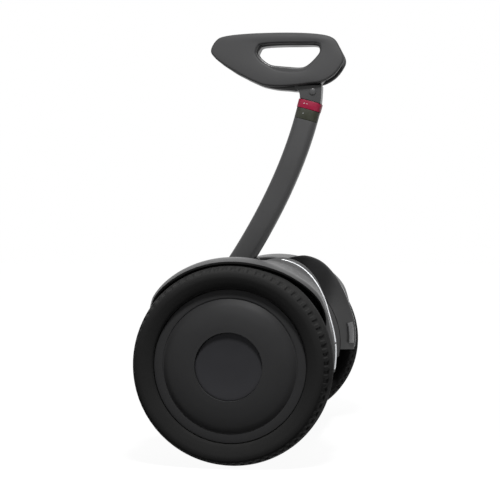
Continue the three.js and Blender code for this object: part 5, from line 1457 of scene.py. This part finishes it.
def cover_screws():
    """Screws of the deck, the rear panel, the belly and the cowl."""
    screws = bmesh.new()
    frame_low, frame_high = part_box("chassis_frame")
    panel_low, panel_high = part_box("rear_panel")
    cowl_low, cowl_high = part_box("front_cowl")
    belly_low, belly_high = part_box("belly_cover")
    deck_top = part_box("spine_cover")[0].z
    up, down, back = Vector((0, 0, 1)), Vector((0, 0, -1)), Vector((-1, 0, 0))
    for side in SIDES.values():
        for x in (frame_low.x + SCREW_INSET, frame_high.x - SCREW_INSET):
            add_screw(screws, Vector((x, side * DECK_SCREW_ACROSS, deck_top)), up, DECK_SCREW_RADIUS)
        for y in (*PANEL_SCREWS_ACROSS, panel_high.y - SCREW_INSET):
            place = Vector((panel_low.x, side * y, panel_low.z + SCREW_INSET))
            add_screw(screws, place, back, TRIM_SCREW_RADIUS)
        for height in COWL_SCREWS_UP:
            place = Vector((cowl_low.x + COWL_SCREW_FORWARDS, side * cowl_high.y, cowl_low.z + height))
            add_screw(screws, place, Vector((0, side, 0)), TRIM_SCREW_RADIUS)
        for x in (belly_low.x + BELLY_SCREW_INSET, belly_high.x - BELLY_SCREW_INSET):
            across = side * (belly_high.y - BELLY_SCREW_INSET)
            add_screw(screws, Vector((x, across, belly_low.z + BELLY_SCREW_RECESS)), down,
                      BELLY_SCREW_RADIUS)
        place = Vector((0, side * MIDDLE_SCREW_ACROSS, belly_low.z))
        add_screw(screws, place, down, MIDDLE_SCREW_RADIUS)
    keep_piece("cover_screws", screws, "steel", "chassis")


def belly_ribs():
    """Shallow skid ribs along the belly, which take the knocks from kerbs."""
    low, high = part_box("belly_cover")
    ribs = bmesh.new()
    for place in BELLY_RIB_PLACES:
        middle = place * MM
        add_rounded_block(ribs, (low.x + BELLY_RIB_END, middle - BELLY_RIB_HALF, low.z + 1 * MM),
                          (high.x - BELLY_RIB_END, middle + BELLY_RIB_HALF, low.z + 2 * MM),
                          BELLY_RIB_CORNER, BELLY_RIB_EDGE)
    bmesh.ops.translate(ribs, verts=ribs.verts, vec=(0, 0, -BELLY_RIB_DROP))
    keep_piece("belly_ribs", ribs, "shell", "chassis")


# Operators

class TRANSPORTER_OT_tyres(bpy.types.Operator):
    """Make both tyres with their tread and valves"""
    bl_idname = "transporter.tyres"
    bl_label = "Tyres"

    def execute(self, context):
        for name, side in SIDES.items():
            tyre(name, side)
            valve(name, side)
        return {"FINISHED"}


class TRANSPORTER_OT_hubs(bpy.types.Operator):
    """Make the hub covers, centre caps, rims and motor covers"""
    bl_idname = "transporter.hubs"
    bl_label = "Hubs"

    def execute(self, context):
        for name, side in SIDES.items():
            hub_cover(name, side)
            centre_cap(name, side)
            rim(name, side)
            rotor_cover(name, side)
        return {"FINISHED"}


class TRANSPORTER_OT_inner_works(bpy.types.Operator):
    """Give the motors, axles, battery and circuits their finishes"""
    bl_idname = "transporter.inner_works"
    bl_label = "Inner works"

    def execute(self, context):
        for name in SIDES:
            dressed(f"magnet_ring_{name}", "steel")
            dressed(f"stator_{name}", "winding")
            dressed(f"axle_{name}", "steel")
            dressed(f"wheel_bearings_{name}", "steel")
            dressed(f"foot_sensor_{name}", "circuit")
        for node, finish_name, slot in (
                ("battery_pack", "case", "battery_case"), ("control_board", "circuit", "circuit"),
                ("pivot_shaft", "steel", "steel"), ("pivot_bearings", "steel", "steel"),
                ("centring_spring", "steel", "steel")):
            dressed(node, finish_name)
        return {"FINISHED"}


class TRANSPORTER_OT_fenders(bpy.types.Operator):
    """Make the fenders with their light strips, reflectors and inner liners"""
    bl_idname = "transporter.fenders"
    bl_label = "Fenders"

    def execute(self, context):
        for name, side in SIDES.items():
            fender(name, side)
            light_strip(name, side)
            softened(f"rear_reflector_{name}", 0.5 * MM, "reflector", "chassis")
            softened(f"inner_liner_{name}", 0.8 * MM, "shell", "chassis")
        return {"FINISHED"}


class TRANSPORTER_OT_deck(bpy.types.Operator):
    """Make the frame, the foot mats, the axle clamps and the belly cover"""
    bl_idname = "transporter.deck"
    bl_label = "Deck"

    def execute(self, context):
        for name in SIDES:
            foot_mat(name)
            softened(f"axle_clamp_{name}", sizes().cast_edge, "alloy", "chassis")
        softened("chassis_frame", sizes().moulded_edge, "case", "chassis")
        softened("belly_cover", sizes().cast_edge, "shell", "chassis")
        belly_ribs()
        return {"FINISHED"}


class TRANSPORTER_OT_covers(bpy.types.Operator):
    """Make the covers, the front cowl, the rear panel and what they carry"""
    bl_idname = "transporter.covers"
    bl_label = "Covers"

    def execute(self, context):
        edge = sizes().moulded_edge
        for node, finish_name, body, slot in (
                ("spine_cover", "shell", "chassis", "shell"), ("front_cowl", "shell", "chassis", "shell"),
                ("rear_panel", "shell", "chassis", "shell"), ("charge_port", "deep", "chassis", "liner"),
                ("charge_cap", "mat", "charge_cap", "mat"), ("power_button", "deep", "power_button", "liner"),
                ("display_window", "window", "chassis", "display_glass"),
                ("head_lamp_lens", "lens", "chassis", "light")):
            softened(node, edge * TRIM_EDGE_SHARE, finish_name, body)
        charge_bars()
        cover_screws()
        return {"FINISHED"}


class TRANSPORTER_OT_stem(bpy.types.Operator):
    """Make the steering stem with its socket, latch, sleeve and collar"""
    bl_idname = "transporter.stem"
    bl_label = "Stem"

    def execute(self, context):
        stem_tube()
        stem_socket()
        ring_bar("scale_sleeve_band", SLEEVE_START, SLEEVE_END, 0.0, "sleeve", "scale_sleeve")
        ring_bar("collar_band", COLLAR_START, COLLAR_END, COLLAR_PROUD, "collar", "collar")
        scale_ticks()
        stem_plugs()
        softened("stem_latch", 0.8 * MM, "deep", "stem_latch")
        softened("dust_shield", 0.4 * MM, "deep", "stem")
        softened("head_mast", 0.5 * MM, "steel", "head")
        return {"FINISHED"}


class TRANSPORTER_OT_head(bpy.types.Operator):
    """Make the head with its carrying loop, knee pads and height button"""
    bl_idname = "transporter.head"
    bl_label = "Head"

    def execute(self, context):
        head_shell()
        for name, side in SIDES.items():
            knee_pad(name, side)
        softened("height_button", 0.6 * MM, "head", "height_button")
        return {"FINISHED"}


def area_light(name, place, size, power):
    """A round lamp that faces the middle of the part."""
    light = bpy.data.lights.new(name, "AREA")
    light.shape = "DISK"
    light.size = size
    light.energy = power
    lamp = bpy.data.objects.new(name, light)
    lamp.location = place
    lamp.rotation_euler = (LIGHT_AIM - place).to_track_quat("-Z", "Y").to_euler()
    bpy.context.scene.collection.objects.link(lamp)


def seen_rays(tree):
    """1 for what the camera sees directly, in gloss or through glass."""
    path = put(tree, "ShaderNodeLightPath")
    seen = maths(tree, "MAXIMUM", path.outputs["Is Camera Ray"], path.outputs["Is Glossy Ray"])
    return maths(tree, "MAXIMUM", seen, path.outputs["Is Transmission Ray"])


def white_world():
    world = bpy.data.worlds.new("studio")
    bpy.context.scene.world = world
    world.use_nodes = True
    tree = world.node_tree
    background = next(node for node in tree.nodes if node.type == "BACKGROUND")
    strength = remap(tree, seen_rays(tree), 0.0, 1.0, FILL_STRENGTH, 1.0)
    background.inputs["Color"].default_value = (1, 1, 1, 1)
    tree.links.new(strength, background.inputs["Strength"])


def pale_floor():
    """A white floor that keeps the object's shadow and sends little light back up."""
    slab = bmesh.new()
    bmesh.ops.create_grid(slab, x_segments=1, y_segments=1, size=FLOOR_HALF)
    bmesh.ops.translate(slab, verts=slab.verts, vec=(0, 0, -FLOOR_DROP))
    mesh = bpy.data.meshes.new("floor")
    slab.to_mesh(mesh)
    slab.free()
    material, tree, shader = blank_material("floor", Roughness=0.9, Specular_IOR_Level=0.0)
    seen = seen_rays(tree)
    place = put(tree, "ShaderNodeTexCoord").outputs["Object"]
    away = put(tree, "ShaderNodeVectorMath", {0: place}, operation="LENGTH").outputs["Value"]
    glow = remap(tree, away, *FLOOR_GLOW_RADII, FLOOR_NEAR_GLOW, 1.0)
    shader.inputs["Base Color"].default_value = FLOOR_SHADE
    shader.inputs["Emission Color"].default_value = (1, 1, 1, 1)
    tree.links.new(maths(tree, "MULTIPLY", seen, glow), shader.inputs["Emission Strength"])
    mesh.materials.append(material)
    floor = bpy.data.objects.new("floor", mesh)
    bpy.context.scene.collection.objects.link(floor)


class TRANSPORTER_OT_stage(bpy.types.Operator):
    """Make the floor, the lamps, the white surroundings and the camera"""
    bl_idname = "transporter.stage"
    bl_label = "Stage"

    def execute(self, context):
        area_light("key", KEY_PLACE, KEY_SIZE, KEY_POWER)
        area_light("soft_box", Vector((0, 0, SOFT_BOX_HEIGHT)), SOFT_BOX_SIZE, SOFT_BOX_POWER)
        pale_floor()
        white_world()
        lens = bpy.data.cameras.new("camera")
        lens.lens = CAMERA_LENS
        lens.sensor_width = CAMERA_SENSOR
        camera = bpy.data.objects.new("camera", lens)
        camera.location = CAMERA_PLACE
        camera.rotation_euler = (CAMERA_AIM - CAMERA_PLACE).to_track_quat("-Z", "Y").to_euler()
        scene = bpy.context.scene
        scene.collection.objects.link(camera)
        scene.camera = camera
        scene.view_settings.view_transform = "Standard"
        return {"FINISHED"}


OPERATORS = (
    TRANSPORTER_OT_tyres, TRANSPORTER_OT_hubs, TRANSPORTER_OT_inner_works, TRANSPORTER_OT_fenders,
    TRANSPORTER_OT_deck, TRANSPORTER_OT_covers, TRANSPORTER_OT_stem, TRANSPORTER_OT_head,
    TRANSPORTER_OT_stage,
)


class TRANSPORTER_PT_panel(bpy.types.Panel):
    """Sizes, colours and the buttons that build the transporter"""
    bl_label = "Self balancing transporter"
    bl_space_type = "VIEW_3D"
    bl_region_type = "UI"
    bl_category = "Transporter"

    def draw(self, context):
        for group in (context.scene.transporter_sizes, context.scene.transporter_colours):
            box = self.layout.box()
            for name in group.__annotations__:
                box.prop(group, name)
        for operator in OPERATORS:
            self.layout.operator(operator.bl_idname)


CLASSES = (TransporterSizes, TransporterColours, *OPERATORS, TRANSPORTER_PT_panel)


def register():
    for each in CLASSES:
        bpy.utils.register_class(each)
    bpy.types.Scene.transporter_sizes = PointerProperty(type=TransporterSizes)
    bpy.types.Scene.transporter_colours = PointerProperty(type=TransporterColours)


def unregister():
    del bpy.types.Scene.transporter_colours
    del bpy.types.Scene.transporter_sizes
    for each in reversed(CLASSES):
        bpy.utils.unregister_class(each)


def main():
    register()
    bpy.ops.transporter.tyres()
    bpy.ops.transporter.hubs()
    bpy.ops.transporter.inner_works()
    bpy.ops.transporter.fenders()
    bpy.ops.transporter.deck()
    bpy.ops.transporter.covers()
    bpy.ops.transporter.stem()
    bpy.ops.transporter.head()
    bpy.ops.transporter.stage()
    bpy.context.view_layer.update()


if __name__ == "__main__":
    main()
